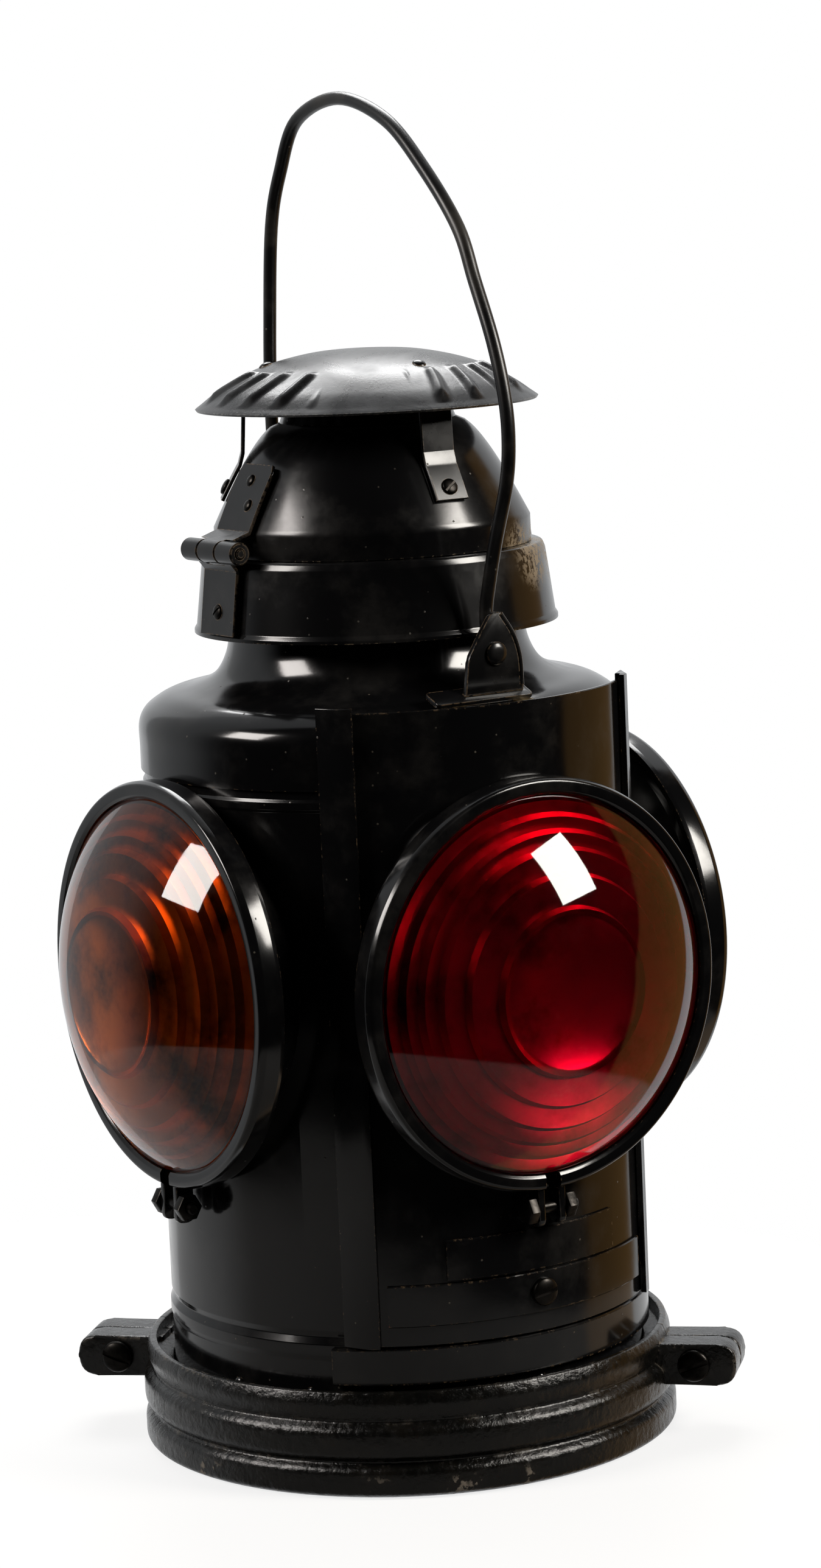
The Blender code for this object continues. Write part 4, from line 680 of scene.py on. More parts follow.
def plate(name: str, outline: Sequence[Point2], thickness: float, finish: Finish,
          place: Matrix, edge: float = 0.3 * MM) -> Piece:
    """A flat plate in the XY plane, half its thickness each way, with eased edges.

    Args:
        name: The piece's name.
        outline: Its outline, anticlockwise.
        thickness: Its thickness along Z.
        finish: Its surface finish.
        place: Where it goes.
        edge: How far its edges are rounded.

    Returns:
        The new object.
    """
    shape = bmesh.new()
    low = [shape.verts.new((x, y, -thickness / 2.0)) for x, y in outline]
    high = [shape.verts.new((x, y, thickness / 2.0)) for x, y in outline]
    shape.faces.new(low[::-1])
    shape.faces.new(high)
    for i in range(len(outline)):
        j = (i + 1) % len(outline)
        shape.faces.new((low[i], low[j], high[j], high[i]))
    if edge > 0.0:
        rims = [e for e in shape.edges if abs(e.verts[0].co.z - e.verts[1].co.z) < 1e-9]
        bmesh.ops.bevel(shape, geom=rims, offset=edge, segments=3, profile=0.5, affect="EDGES")
    return finish_mesh(name, shape, finish, place)


def band(name: str, line: Sequence[Sequence[float]], width: float, thickness: float, finish: Finish,
         place: Matrix, narrow: Callable[[float], float] | None = None) -> Piece:
    """A bent strip: a line in the XY plane, with its width along Z.

    Args:
        name: The piece's name.
        line: The strip's middle line.
        width: Its width.
        thickness: Its thickness.
        finish: Its surface finish.
        place: Where it goes.
        narrow: Gives the width's share from 0 to 1 along the line.

    Returns:
        The new object.
    """
    points = [Vector(p[:2]) for p in line]
    shape = bmesh.new()
    rows = []
    ease = min(0.3 * MM, thickness * 0.4)
    for index, point in enumerate(points):
        run = (points[min(index + 1, len(points) - 1)] - points[max(index - 1, 0)]).normalized()
        out = Vector((-run.y, run.x))
        half = width / 2.0 * (narrow(index / (len(points) - 1)) if narrow else 1.0)
        ring = []
        for side, level in ((-1, half - ease), (-1, -half + ease), (-0.4, -half), (0.4, -half),
                            (1, -half + ease), (1, half - ease), (0.4, half), (-0.4, half)):
            reach = side * thickness / 2.0
            at = point + out * reach
            ring.append(shape.verts.new((at.x, at.y, level)))
        rows.append(ring)
    for here, there in zip(rows, rows[1:]):
        for k in range(8):
            shape.faces.new((here[k], here[(k + 1) % 8], there[(k + 1) % 8], there[k]))
    shape.faces.new(rows[0])
    shape.faces.new(rows[-1][::-1])
    return finish_mesh(name, shape, finish, place)


def rod(name: str, line: Sequence[Sequence[float]], radius: float, finish: Finish,
        sides: int = 16) -> Piece:
    """A round wire along a smooth line, with closed ends.

    Args:
        name: The piece's name.
        line: Its centre line.
        radius: Its radius.
        finish: Its surface finish.
        sides: How many sides the round has.

    Returns:
        The new object.
    """
    points = [Vector(p) for p in line]
    shape = bmesh.new()
    rings = []
    across = Vector((1.0, 0.0, 0.0))
    for index, point in enumerate(points):
        run = (points[min(index + 1, len(points) - 1)] - points[max(index - 1, 0)]).normalized()
        across = (across - run * across.dot(run)).normalized()
        other = run.cross(across)
        rings.append([shape.verts.new(point + radius * (across * math.cos(FULL_TURN * k / sides)
                                                        + other * math.sin(FULL_TURN * k / sides)))
                      for k in range(sides)])
    for here, there in zip(rings, rings[1:]):
        for k in range(sides):
            shape.faces.new((here[k], here[(k + 1) % sides], there[(k + 1) % sides], there[k]))
    shape.faces.new(rings[0][::-1])
    shape.faces.new(rings[-1])
    return finish_mesh(name, shape, finish)


def cut(piece: Piece, *cutters: Piece, operation: str = "DIFFERENCE",
        ) -> Piece:
    """Cut pieces away from a piece, or join them to it, and remove them.

    Args:
        piece: The piece that stays.
        *cutters: What is cut away or joined.
        operation: DIFFERENCE or UNION.

    Returns:
        The changed piece.
    """
    for cutter in cutters:
        step = piece.modifiers.new("cut", "BOOLEAN")
        step.operation = operation
        step.solver = "EXACT"
        step.object = cutter
    graph = bpy.context.evaluated_depsgraph_get()
    made = bpy.data.meshes.new_from_object(piece.evaluated_get(graph))
    piece.modifiers.clear()
    old = piece.data
    piece.data = made
    made.name = old.name
    bpy.data.meshes.remove(old)
    for cutter in cutters:
        bpy.data.objects.remove(cutter, do_unlink=True)
    piece.data.shade_smooth()
    piece.data.set_sharp_from_angle(angle=SHARP_ANGLE)
    return piece


def join(name: str, pieces: Sequence[Piece]) -> Piece:
    """Join pieces into one object under one name.

    Args:
        name: The joined piece's name.
        pieces: What is joined; the first one's materials come first.

    Returns:
        The joined piece.
    """
    with bpy.context.temp_override(active_object=pieces[0], object=pieces[0],
                                   selected_objects=list(pieces),
                                   selected_editable_objects=list(pieces)):
        bpy.ops.object.join()
    pieces[0].name = name
    pieces[0].data.name = name
    return pieces[0]


def slotted_head(name: str, radius: float, height: float, turn: float, place: Matrix,
                 finish: Finish) -> Piece:
    """A domed screw head with a slot, standing on the XY plane.

    Args:
        name: The piece's name.
        radius: The head's radius.
        height: Its height.
        turn: The angle of its slot.
        place: Where it goes.
        finish: Its surface finish.

    Returns:
        The new object.
    """
    dome = [(radius * math.cos(a), height * (0.35 + 0.65 * math.sin(a)))
            for a in (math.pi / 2.0 * i / 8.0 for i in range(9))]
    head = turned(name, [(0.0, -0.4 * MM), (radius, -0.4 * MM)] + dome, finish, steps=40)
    slot = plate("slot", oblong(-1.3 * radius, 1.3 * radius, -0.14 * radius, 0.14 * radius),
                 height, finish,
                 Matrix.Translation((0.0, 0.0, height * 1.05)) @ Matrix.Rotation(turn, 4, "Z"), 0.0)
    cut(head, slot)
    head.data.transform(place)
    return head


def rivet(name: str, radius: float, height: float, place: Matrix, finish: Finish) -> Piece:
    """A domed rivet head standing on the XY plane.

    Args:
        name: The piece's name.
        radius: The head's radius.
        height: Its height.
        place: Where it goes.
        finish: Its surface finish.

    Returns:
        The new object.
    """
    dome = [(radius * math.cos(a), height * math.sin(a)) for a in
            (math.pi / 2.0 * i / 6.0 for i in range(7))]
    return turned(name, [(0.0, -0.5 * MM), (radius, -0.5 * MM)] + dome, finish, place, 24)


def settle(piece: Piece, body: str, *nodes: str) -> Piece:
    """Let a piece ride on a CAD body and stand for CAD nodes, and report it.

    Args:
        piece: The finished piece.
        body: The CAD body that it moves with.
        *nodes: The CAD nodes that it stands for.

    Returns:
        The same piece.
    """
    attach(piece, body)
    if nodes:
        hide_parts(*nodes)
    LOG.info("%s: %d faces on %s%s", piece.name, len(piece.data.polygons), body,
             ", stands for " + ", ".join(nodes) if nodes else "")
    return piece


def dress(node: str, finish: Finish) -> None:
    """Give a CAD node its finish and smooth round faces.

    Args:
        node: The CAD node's name.
        finish: Its surface finish.
    """
    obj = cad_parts[node]
    obj.data.materials.clear()
    obj.data.materials.append(finish.material())
    obj.data.shade_smooth()
    obj.data.set_sharp_from_angle(angle=SHARP_ANGLE)
    LOG.info("%s: CAD shape with %s", node, finish.name)


# ---------------------------------------------------------------- sub-assemblies

@dataclass
class Body:
    """The sheet body, its shoulder and neck."""

    radius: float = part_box("base_pan")[1].x + 1.2 * MM
    bottom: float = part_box("body_shell")[0].z
    top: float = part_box("body_shell")[1].z
    neck_top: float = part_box("body_top")[1].z
    collar_bottom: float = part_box("body_top")[0].z
    collar_radius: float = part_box("body_top")[1].x
    neck_radius: float = 52.0 * MM
    sheet: float = 0.9 * MM
    bore: float = 47.0 * MM
    opening_half: float = 49.7 * MM
    opening_low: float = 54.5 * MM
    opening_high: float = 240.0 * MM
    rivet_height: float = 33.5 * MM
    rivet_radius: float = 2.3 * MM
    rivet_rise: float = 1.4 * MM
    rivet_azimuths: tuple[float, ...] = (-77.0, -56.0, -21.5, 0.0)
    vents: int = 6
    vent_radius: float = 3.5 * MM
    vent_reach: float = 5.0 * MM
    vent_drop: float = 9.0 * MM

    def build(self) -> None:
        """Make the shell with its beads and openings, then the shoulder and neck."""
        self.shell()
        self.shoulder()
        dress("base_pan", ENAMEL)

    def shell(self) -> None:
        """The drum: beads near its foot and under its collar, three bores and the doorway."""
        r = self.radius
        side = rounded([
            (r, self.top, 0.0), (r, 241.0 * MM, 0.5 * MM), (r + 0.7 * MM, 240.0 * MM, 0.5 * MM),
            (r + 0.7 * MM, 237.5 * MM, 0.5 * MM), (r, 236.5 * MM, 0.5 * MM),
            (r, 56.0 * MM, 1.0 * MM), (r - 0.9 * MM, 53.8 * MM, 0.8 * MM),
            (r + 0.5 * MM, 51.2 * MM, 0.9 * MM), (r + 0.5 * MM, 47.5 * MM, 0.9 * MM),
            (r, 45.5 * MM, 0.8 * MM), (r, self.bottom, 0.0),
        ], closed=False)
        shell = turned("drum", sheet_section(side, self.sheet), ENAMEL)
        middle = middle_height("lens_glass_rear")
        cutters = []
        ring = cylinder(self.bore, r * 0.6, r * 1.3)
        for lens_side in (Side.RIGHT, Side.REAR, Side.LEFT):
            cutters.append(turned("bore", ring, ENAMEL, facing(lens_side.azimuth, middle), 71))
        w = self.opening_half
        doorway = plate("doorway", oblong(-w, w, self.opening_low, self.opening_high),
                        r, ENAMEL, facing(0.0, 0.0, r), 0.0)
        cut(shell, doorway, *cutters)
        rivets = [rivet("foot_rivet", self.rivet_radius, self.rivet_rise,
                        facing(math.radians(azimuth + half_turn), self.rivet_height, r - 0.1 * MM),
                        ENAMEL)
                  for azimuth in self.rivet_azimuths for half_turn in (0.0, 180.0)]
        settle(join("drum", [shell] + rivets), "lamp", "body_shell")

    def shoulder(self) -> None:
        """The drawn shoulder: a collar, a rolled edge, then a sweep up to the neck."""
        n, c = self.neck_radius, self.collar_radius
        z = self.top + 2.0 * MM
        sweep = smooth_line([
            (n, self.neck_top), (n, z + 40.0 * MM), (n + 0.2 * MM, z + 33.0 * MM),
            (n + 1.6 * MM, z + 24.5 * MM), (n + 6.0 * MM, z + 17.0 * MM),
            (n + 14.0 * MM, z + 13.2 * MM),
            (n + 23.0 * MM, z + 11.0 * MM), (c - 5.5 * MM, z + 8.4 * MM),
            (c - 1.8 * MM, z + 5.2 * MM),
            (c, z + 0.5 * MM), (c, z - 7.0 * MM), (c, self.collar_bottom),
        ], 6)
        top = turned("shoulder_and_neck", sheet_section(sweep, self.sheet), ENAMEL)
        vents = []
        for index in range(self.vents):
            turn = FULL_TURN * (index + 0.45) / self.vents
            ring = cylinder(self.vent_radius, n - self.vent_reach, n + self.vent_reach)
            vents.append(turned("vent", ring, ENAMEL, facing(turn, self.neck_top - self.vent_drop),
                                23))
        settle(cut(top, *vents), "lamp", "body_top")


@dataclass
class Lens:
    """One domed signal lens with its cup, clamp ring, bolt and nut."""

    side: Side
    glass: Finish
    glass_back: Finish
    rim: float = 68.4 * MM
    view: float = 65.0 * MM
    ball: float = 97.0 * MM
    ball_centre: float = 24.5 * MM
    seat: float = 91.4 * MM
    lip: float = 94.3 * MM
    face: float = 97.5 * MM
    back: float = 88.0 * MM
    bezel: float = 71.3 * MM
    rings: tuple[float, ...] = tuple(r * MM for r in (62.0, 57.0, 52.0, 46.5, 38.5, 28.0))
    slit_half: float = 3.0 * MM
    ear_drop: float = 12.5 * MM
    ear_rise: float = 1.5 * MM
    ear_thickness: float = 2.5 * MM
    ear_offset: float = 4.25 * MM
    bolt_half: float = 5.8 * MM
    bolt_drop: float = 6.5 * MM
    bolt_inset: float = 4.3 * MM
    hexagon: float = 8.5 * MM
    nut_thickness: float = 4.0 * MM

    @property
    def place(self) -> Matrix:
        """The lens's own place: Z along its centre line from the lamp's axis."""
        return facing(self.side.azimuth, middle_height("lens_glass_" + self.side.tag))

    def build(self) -> None:
        """Make the glass, its ring, its cup, and the bolt and nut that close the ring."""
        self.make_glass()
        self.make_ring()
        self.make_cup()
        self.make_bolt()

    def make_glass(self) -> None:
        """The domed glass: smooth outside, with pressed optical steps inside."""
        tag = self.side.tag
        steps_out = 28
        edge = math.asin(self.view / self.ball)
        outer = [(self.ball * math.sin(edge * i / steps_out),
                  self.ball_centre + self.ball * math.cos(edge * i / steps_out))
                 for i in range(steps_out + 1)]
        rim = [(self.view, self.lip), (self.rim, self.lip), (self.rim, self.seat),
               (self.view - 1.0 * MM, self.seat)]
        inner: list[Point2] = []
        for radius in self.rings:
            high = self.ball_centre + math.sqrt((self.ball - 4.0 * MM) ** 2 - radius ** 2)
            inner += [(radius + 0.6 * MM, high - 3.4 * MM), (radius, high + 0.4 * MM)]
        last = self.rings[-1] - 1.5 * MM
        bull = [(last * math.cos(a),
                 self.ball_centre + self.ball - 9.0 * MM - 1.2 * MM * math.sin(a))
                for a in (math.pi / 2.0 * i / 10.0 for i in range(11))]
        inner += bull
        section = outer + rim + inner
        glass = turned("signal_glass_" + tag, section, self.glass, steps=120)
        glass.data.materials.append(self.glass_back.material())
        for face in glass.data.polygons:
            middle, normal = face.center, face.normal
            radius = math.hypot(middle.x, middle.y)
            skin = self.ball_centre + math.sqrt(self.ball ** 2 - radius ** 2)
            if radius < self.view - 0.5 * MM and middle.z < skin - 2.0 * MM:
                face.material_index = 1
        glass.data.transform(self.place)
        settle(glass, self.side.body, "lens_glass_" + tag)

    def make_ring(self) -> None:
        """The rolled clamp ring, with its two ears below for the bolt."""
        tag = self.side.tag
        inside = self.rim + 0.3 * MM
        lip = self.view + 0.5 * MM
        section = rounded([
            (lip, self.face - 0.8 * MM, 0.3 * MM), (lip + 1.2 * MM, self.face, 0.9 * MM),
            (self.bezel - 1.0 * MM, self.face, 1.6 * MM),
            (self.bezel, self.face - 2.4 * MM, 1.6 * MM),
            (self.bezel, self.back + 1.6 * MM, 0.6 * MM),
            (self.bezel - 0.3 * MM, self.back, 0.2 * MM),
            (inside, self.back, 0.0), (inside, self.face - 2.9 * MM, 0.0),
            (lip, self.face - 2.9 * MM, 0.0),
        ])
        ring = turned("clamp_ring_" + tag, section, ENAMEL, steps=140)
        slit = plate("slit", oblong(-self.slit_half, self.slit_half, -self.bezel - 6.0 * MM,
                                    -self.bezel + 6.0 * MM),
                     40.0 * MM, ENAMEL, Matrix.Translation((0.0, 0.0, self.face)), 0.0)
        cut(ring, slit)
        ears = []
        middle = (self.face + self.back) / 2.0
        half = (self.face - self.back - 2.5 * MM) / 2.0
        for hand in (-1.0, 1.0):
            outline = rounded([(-half, -self.bezel - self.ear_drop, 2.5 * MM),
                               (half, -self.bezel - self.ear_drop, 2.5 * MM),
                               (half, -self.bezel + self.ear_rise, 0.0),
                               (-half, -self.bezel + self.ear_rise, 0.0)])
            turn = Matrix.Translation((hand * self.ear_offset, 0.0, middle)) @ Matrix.Rotation(
                QUARTER, 4, "Y")
            ears.append(plate("ear", outline, self.ear_thickness, ENAMEL, turn, 0.5 * MM))
        ring = join("clamp_ring_" + tag, [ring] + ears)
        ring.data.transform(self.place)
        settle(ring, self.side.body, "lens_bezel_" + tag)

    def make_bolt(self) -> None:
        """The hexagon bolt through the ring's two ears, and its nut."""
        tag = self.side.tag
        half = self.bolt_half
        middle = half + self.nut_thickness / 2.0
        across = Matrix.Rotation(QUARTER, 4, "Y")
        at = self.place @ Matrix.Translation((0.0, -self.bezel - self.bolt_drop,
                                              self.face - self.bolt_inset))
        six = [(self.hexagon / math.sqrt(3.0) * math.cos(a),
                self.hexagon / math.sqrt(3.0) * math.sin(a))
               for a in (math.radians(60.0 * i) for i in range(6))]
        head = plate("head", six, self.nut_thickness, STEEL,
                     at @ across @ Matrix.Translation((0.0, 0.0, -middle)), 0.6 * MM)
        shank = turned("shank", [(0.0, -half - 1.0 * MM), (2.0 * MM, -half - 1.0 * MM),
                                 (2.0 * MM, half + 5.4 * MM), (1.5 * MM, half + 6.0 * MM),
                                 (0.0, half + 6.0 * MM)], STEEL, at @ across, 24)
        settle(join("clamp_hex_bolt_" + tag, [head, shank]), self.side.body, "clamp_bolt_" + tag)
        nut = plate("clamp_hex_nut_" + tag, six, self.nut_thickness, STEEL,
                    at @ across @ Matrix.Translation((0.0, 0.0, middle)), 0.6 * MM)
        bore = turned("bore", cylinder(2.15 * MM, 0.0, 3.0 * half),
                      STEEL, at @ across, 23)
        settle(cut(nut, bore), self.side.body, "clamp_nut_" + tag)

    def make_cup(self) -> None:
        """The conical cup that carries the glass out from the drum."""
        tag = self.side.tag
        seat = self.seat - 0.3 * MM
        slope = 26.5 / 30.0
        depth = 29.0 * MM
        inner = self.view - 0.5 * MM
        section = rounded([
            (inner, seat, 0.0), (self.rim - 0.2 * MM, seat, 0.3 * MM),
            (self.rim - 0.2 * MM, seat - 2.0 * MM, 0.5 * MM),
            (inner + 1.6 * MM, seat - 3.6 * MM, 1.0 * MM),
            (inner + 1.6 * MM - depth * slope, seat - 3.6 * MM - depth, 0.0),
            (inner - depth * slope, seat - 3.6 * MM - depth, 0.0), (inner, seat - 3.0 * MM, 0.0),
        ])
        cup = turned("lens_cup_shell_" + tag, section, ENAMEL, self.place, 140)
        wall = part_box("door_panel")[0].y if self.side is Side.DOOR else 0.0
        reach = -wall if wall else Body().radius
        inside = turned("inside", cylinder(reach + 0.2 * MM, 60.0 * MM, 260.0 * MM), ENAMEL,
                        steps=170)
        settle(cut(cup, inside), self.side.body, "lens_cup_" + tag)


@dataclass
class Door:
    """The sliding door, its strip, blank plate and screw, between two guides and over a sill."""

    half_angle: float = math.radians(40.5)
    inner: float = 86.3 * MM
    sheet: float = 1.2 * MM
    trim_inner: float = 87.8 * MM
    trim_sheet: float = 0.9 * MM
    trim_edge: float = 0.35 * MM
    screw_seat: float = 88.9 * MM
    bore: float = 47.0 * MM
    # The bore's cutter runs from inside the drum to clear of the sheet.
    bore_run: Point2 = (60.0 * MM, 99.0 * MM)
    # Radius in millimetres and angle in degrees round a guide's folded section.
    guide_section: tuple[Point2, ...] = ((90.2, 38.5), (90.2, 40.9), (86.6, 47.0), (85.9, 47.0),
                                         (85.9, 40.9), (88.2, 40.9), (88.2, 38.5))

    def build(self) -> None:
        """Make the door's sheets, the guides and the sill."""
        self.panel()
        self.trim()
        self.guides()
        self.sill()

    def curved(self, name: str, radius: float, low: float, high: float, half_angle: float,
               thickness: float, corner: float, finish: Finish, steps: int = 72) -> Piece:
        """A sheet bent round the drum, with eased edges.

        Args:
            name: The piece's name.
            radius: Its inner radius.
            low: Its bottom edge's height.
            high: Its top edge's height.
            half_angle: Half the angle that it covers.
            thickness: Its thickness.
            corner: How far its edges are rounded.
            finish: Its surface finish.
            steps: Steps across it.

        Returns:
            The new object.
        """
        rise = [low + (high - low) * i / 40.0 for i in range(1, 40)]
        outer = radius + thickness
        section = [(radius, high), (radius, low)]
        section += [(outer - corner, low), (outer, low + corner)] + [(outer, z) for z in rise]
        section += [(outer, high - corner), (outer - corner, high)]
        return turned(name, section, finish, None, steps, -half_angle, 2.0 * half_angle)

    def panel(self) -> None:
        """The door sheet, with its bore behind the lens."""
        low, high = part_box("door_panel")
        panel = self.curved("door_sheet", self.inner, low.z, high.z, self.half_angle, self.sheet,
                            0.3 * MM, DOOR_ENAMEL, 96)
        ring = cylinder(self.bore, *self.bore_run)
        bore = turned("bore", ring, ENAMEL, facing(0.0, middle_height("lens_glass_door")), 71)
        settle(cut(panel, bore), "door", "door_panel")

    def trim(self) -> None:
        """The strip across the door's foot with its screw, and the blank plate above it."""
        for name, node, half_angle in (("door_foot_strip", "door_strip", 36.5),
                                       ("blank_plate", "name_plate", 23.0)):
            low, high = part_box(node)
            sheet = self.curved(name, self.trim_inner, low.z, high.z, math.radians(half_angle),
                                self.trim_sheet, self.trim_edge, DOOR_ENAMEL)
            settle(sheet, "door", node)
        screw = slotted_head("door_foot_screw", 5.0 * MM, 2.6 * MM, math.radians(8.0),
                             facing(0.0, middle_height("door_screw"), self.screw_seat), STEEL)
        settle(screw, "door", "door_screw")

    def guides(self) -> None:
        """The two folded guides that hold the door's edges."""
        low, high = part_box("door_guide_right")
        for hand, tag in ((1.0, "right"), (-1.0, "left")):
            outline = [(r * MM * math.sin(a), -r * MM * math.cos(a))
                       for r, a in ((r, hand * math.radians(a)) for r, a in self.guide_section)]
            if hand < 0:
                outline.reverse()
            place = Matrix.Translation((0.0, 0.0, (low.z + high.z) / 2.0))
            guide = plate("guide_" + tag, outline, high.z - low.z, ENAMEL, place, 0.3 * MM)
            settle(guide, "lamp", "door_guide_" + tag)

    def sill(self) -> None:
        """The folded sill under the door."""
        low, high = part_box("door_sill")
        sill = self.curved("sill_plate", 85.5 * MM, low.z, high.z, math.radians(50.0), 2.0 * MM,
                           0.6 * MM, ENAMEL, 96)
        settle(sill, "lamp", "door_sill")


@dataclass
class Hood:
    """The fixed skirt, the hinged dome and the cap on three legs, with the hinge and the latch."""

    sheet: float = 0.9 * MM
    mouth: float = 31.0 * MM
    band_height: float = 9.0 * MM
    leg_thickness: float = 1.3 * MM
    leg_width: float = 13.0 * MM
    strap_thickness: float = 1.2 * MM
    strap_width: float = 22.0 * MM
    barrel: float = 4.0 * MM
    pin: float = 1.7 * MM
    knuckle: float = 11.6 * MM
    hinge_length: float = 34.0 * MM
    clearance: float = 0.3 * MM
    skirt_top: float = 60.6 * MM
    strap_gap: float = 0.15 * MM
    barrel_edge: float = 0.5 * MM
    pin_room: float = 0.35 * MM
    first_arc: tuple[float, float] = (-118.0, -50.0)
    second_arc: tuple[float, float] = (-14.0, 54.0)

    def build(self) -> None:
        """Make the turned sheets, the legs, the hinge and the latch."""
        self.skirt()
        self.dome()
        self.cap()
        for index, azimuth in enumerate((0.0, 120.0, -120.0), start=1):
            self.leg(index, math.radians(azimuth))
        self.hinge()
        self.latch()

    def dome_side(self) -> list[Point2]:
        """The dome's outer side as radius and height, from its mouth down to its foot."""
        low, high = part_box("hood_dome")
        reach = high.x
        crown = high.z - low.z - self.band_height
        side: list[Point2] = []
        for index in range(25):
            share = 1.0 - index / 24.0
            spread = (1.0 - share) ** 0.6 * (0.9 + 0.1 * (1.0 - share))
            side.append((self.mouth + (reach - self.mouth) * spread,
                         low.z + self.band_height + crown * share))
        return side + [(reach, low.z + 8.0 * MM), (reach, low.z + 4.0 * MM), (reach, low.z)]

    def beside(self, drop: float, outset: float) -> tuple[float, float, float]:
        """A point beside the dome.

        Args:
            drop: How far below the dome's mouth.
            outset: How far out from its outer face.

        Returns:
            The point's radius and height, and the face's tilt upward there, in radians.
        """
        side = self.dome_side()
        height = side[0][1] - drop
        for (upper_radius, upper), (lower_radius, lower) in zip(side, side[1:]):
            if lower <= height <= upper:
                share = (upper - height) / (upper - lower)
                out = Vector((upper - lower, lower_radius - upper_radius)).normalized()
                return (upper_radius + share * (lower_radius - upper_radius) + out.x * outset,
                        height + out.y * outset, math.atan2(out.y, out.x))
        return (side[-1][0] + outset, height, 0.0)

    def down(self, first: float, last: float, outset: float, count: int = 9) -> list[Point2]:
        """Points down the dome's side at an even distance from it."""
        return [self.beside(first + (last - first) * i / (count - 1),
                            outset)[:2] for i in range(count)]

    def skirt(self) -> None:
        """The skirt that hangs round the neck, with the ledge that the dome closes on."""
        low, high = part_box("hood_skirt")
        side = rounded([
            (50.6 * MM, high.z, 0.0), (59.6 * MM, high.z, 1.2 * MM),
            (self.skirt_top, high.z - 2.5 * MM, 2.0 * MM),
            (63.4 * MM, low.z + 2.6 * MM, 1.0 * MM), (high.x, low.z + 1.2 * MM, 0.8 * MM),
            (high.x, low.z, 0.0),
        ], False)
        settle(turned("hood_skirt_shell", sheet_section(side, self.sheet), DOME_ENAMEL), "lamp",
               "hood_skirt")

    def dome(self) -> None:
        """The spun dome, from its straight band up to the mouth under the cap."""
        side = self.dome_side()
        rim = [(side[0][0] - 1.0 * MM, side[0][1] + 3.4 * MM),
               (side[0][0] - 0.6 * MM, side[0][1] + 1.6 * MM)]
        section = sheet_section(rim + side, self.sheet)
        settle(turned("hood_dome_shell", section, DOME_ENAMEL), "hood", "hood_dome")

    def cap(self) -> None:
        """The shallow cap: two arcs of pressed ribs near its rim, three rivets on top."""
        low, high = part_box("hood_cap")
        radius, crown = high.x, high.z - low.z
        side = smooth_line([(0.0, high.z), (radius * 0.32, low.z + crown * 0.93),
                            (radius * 0.62, low.z + crown * 0.70),
                            (radius * 0.84, low.z + crown * 0.36),
                            (radius * 0.97, low.z + crown * 0.07), (radius, low.z)], 12)

        def ribs(turn: float, r: float, z: float) -> tuple[float, float]:
            """Raise short slanted ribs in a belt near the rim."""
            degrees = math.degrees(math.atan2(math.sin(turn), math.cos(turn)))
            arc = max(min(degrees - low_end, high_end - degrees) for low_end, high_end
                      in (self.first_arc, self.second_arc))
            belt = 1.0 - abs(r - radius * 0.80) / (radius * 0.155)
            rib = math.cos(turn * 24.0 + (r / radius) * 9.0)
            rise = min(1.0, max(0.0, arc / 3.0)) * min(1.0, max(0.0, belt * 3.0)) * max(0.0,
                                                                                        rib) ** 1.4
            return (0.0, 1.9 * MM * rise)

        section = [(max(0.0, r), z) for r, z in sheet_section(side, self.sheet)]
        shell = turned("cap_shell", section, CAP_ENAMEL, None, 540, relief=ribs)
        rivets = []
        for azimuth in (0.0, 120.0, -120.0):
            at = facing(math.radians(azimuth), low.z + crown * 0.735, radius * 0.58)
            tilt = Matrix.Rotation(math.radians(-66.0), 4, "X")
            rivets.append(rivet("cap_rivet", 2.5 * MM, 1.3 * MM, at @ tilt, STRAP_ENAMEL))
        settle(join("hood_cap_shell", [shell] + rivets), "hood", "hood_cap")

    def leg(self, index: int, azimuth: float) -> None:
        """One bent leg between the cap and the dome, with the screw in its foot.

        Args:
            index: The leg's number.
            azimuth: Where it stands.
        """
        cap_low, cap_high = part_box("hood_cap")
        radius, crown = cap_high.x, cap_high.z - cap_low.z
        outset = self.clearance + self.strap_gap + self.leg_thickness / 2.0
        under = 2.35 * MM
        knee = self.beside(11.0 * MM, outset + 1.2 * MM)
        line = rounded([
            (radius * 0.50, cap_low.z + crown * 0.785 - under, 0.0),
            (radius * 0.66, cap_low.z + crown * 0.62 - under, 1.5 * MM),
            (radius * 0.715, cap_low.z + crown * 0.40 - under - 1.0 * MM, 2.0 * MM),
            (knee[0], knee[1], 1.5 * MM), (*self.beside(14.5 * MM, outset)[:2], 0.0)], False)
        line += self.down(15.5 * MM, 26.5 * MM, outset)
        strap = band("strap", line, self.leg_width, self.leg_thickness, STRAP_ENAMEL,
                     facing(azimuth - QUARTER))
        foot = self.beside(22.5 * MM, outset + self.leg_thickness / 2.0)
        at = facing(azimuth, foot[1], foot[0]) @ Matrix.Rotation(-foot[2], 4, "X")
        screw = slotted_head("foot_screw", 2.9 * MM, 1.5 * MM, 0.6 * index, at, STEEL)
        settle(join("cap_leg_strap_%d" % index, [strap, screw]), "hood", "cap_leg_%d" % index)

    def hinge(self) -> None:
        """The hinge's two leaves with their knuckles and rivets, and the pin."""
        low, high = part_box("hinge_pin")
        axis = Vector(((low.x + high.x) / 2.0, 0.0, (low.z + high.z) / 2.0))
        reach = -axis.x
        side = facing(2.0 * QUARTER)
        along = Matrix.Translation(axis) @ Matrix.Rotation(QUARTER, 4, "X")
        outset = self.clearance + self.strap_gap + self.strap_thickness / 2.0
        wall = self.barrel - self.strap_thickness / 2.0
        half, middle = self.hinge_length / 2.0, self.knuckle / 2.0
        room = self.barrel + self.clearance + 0.2 * MM
        ends = ((-half, -middle - self.clearance), (middle + self.clearance, half))

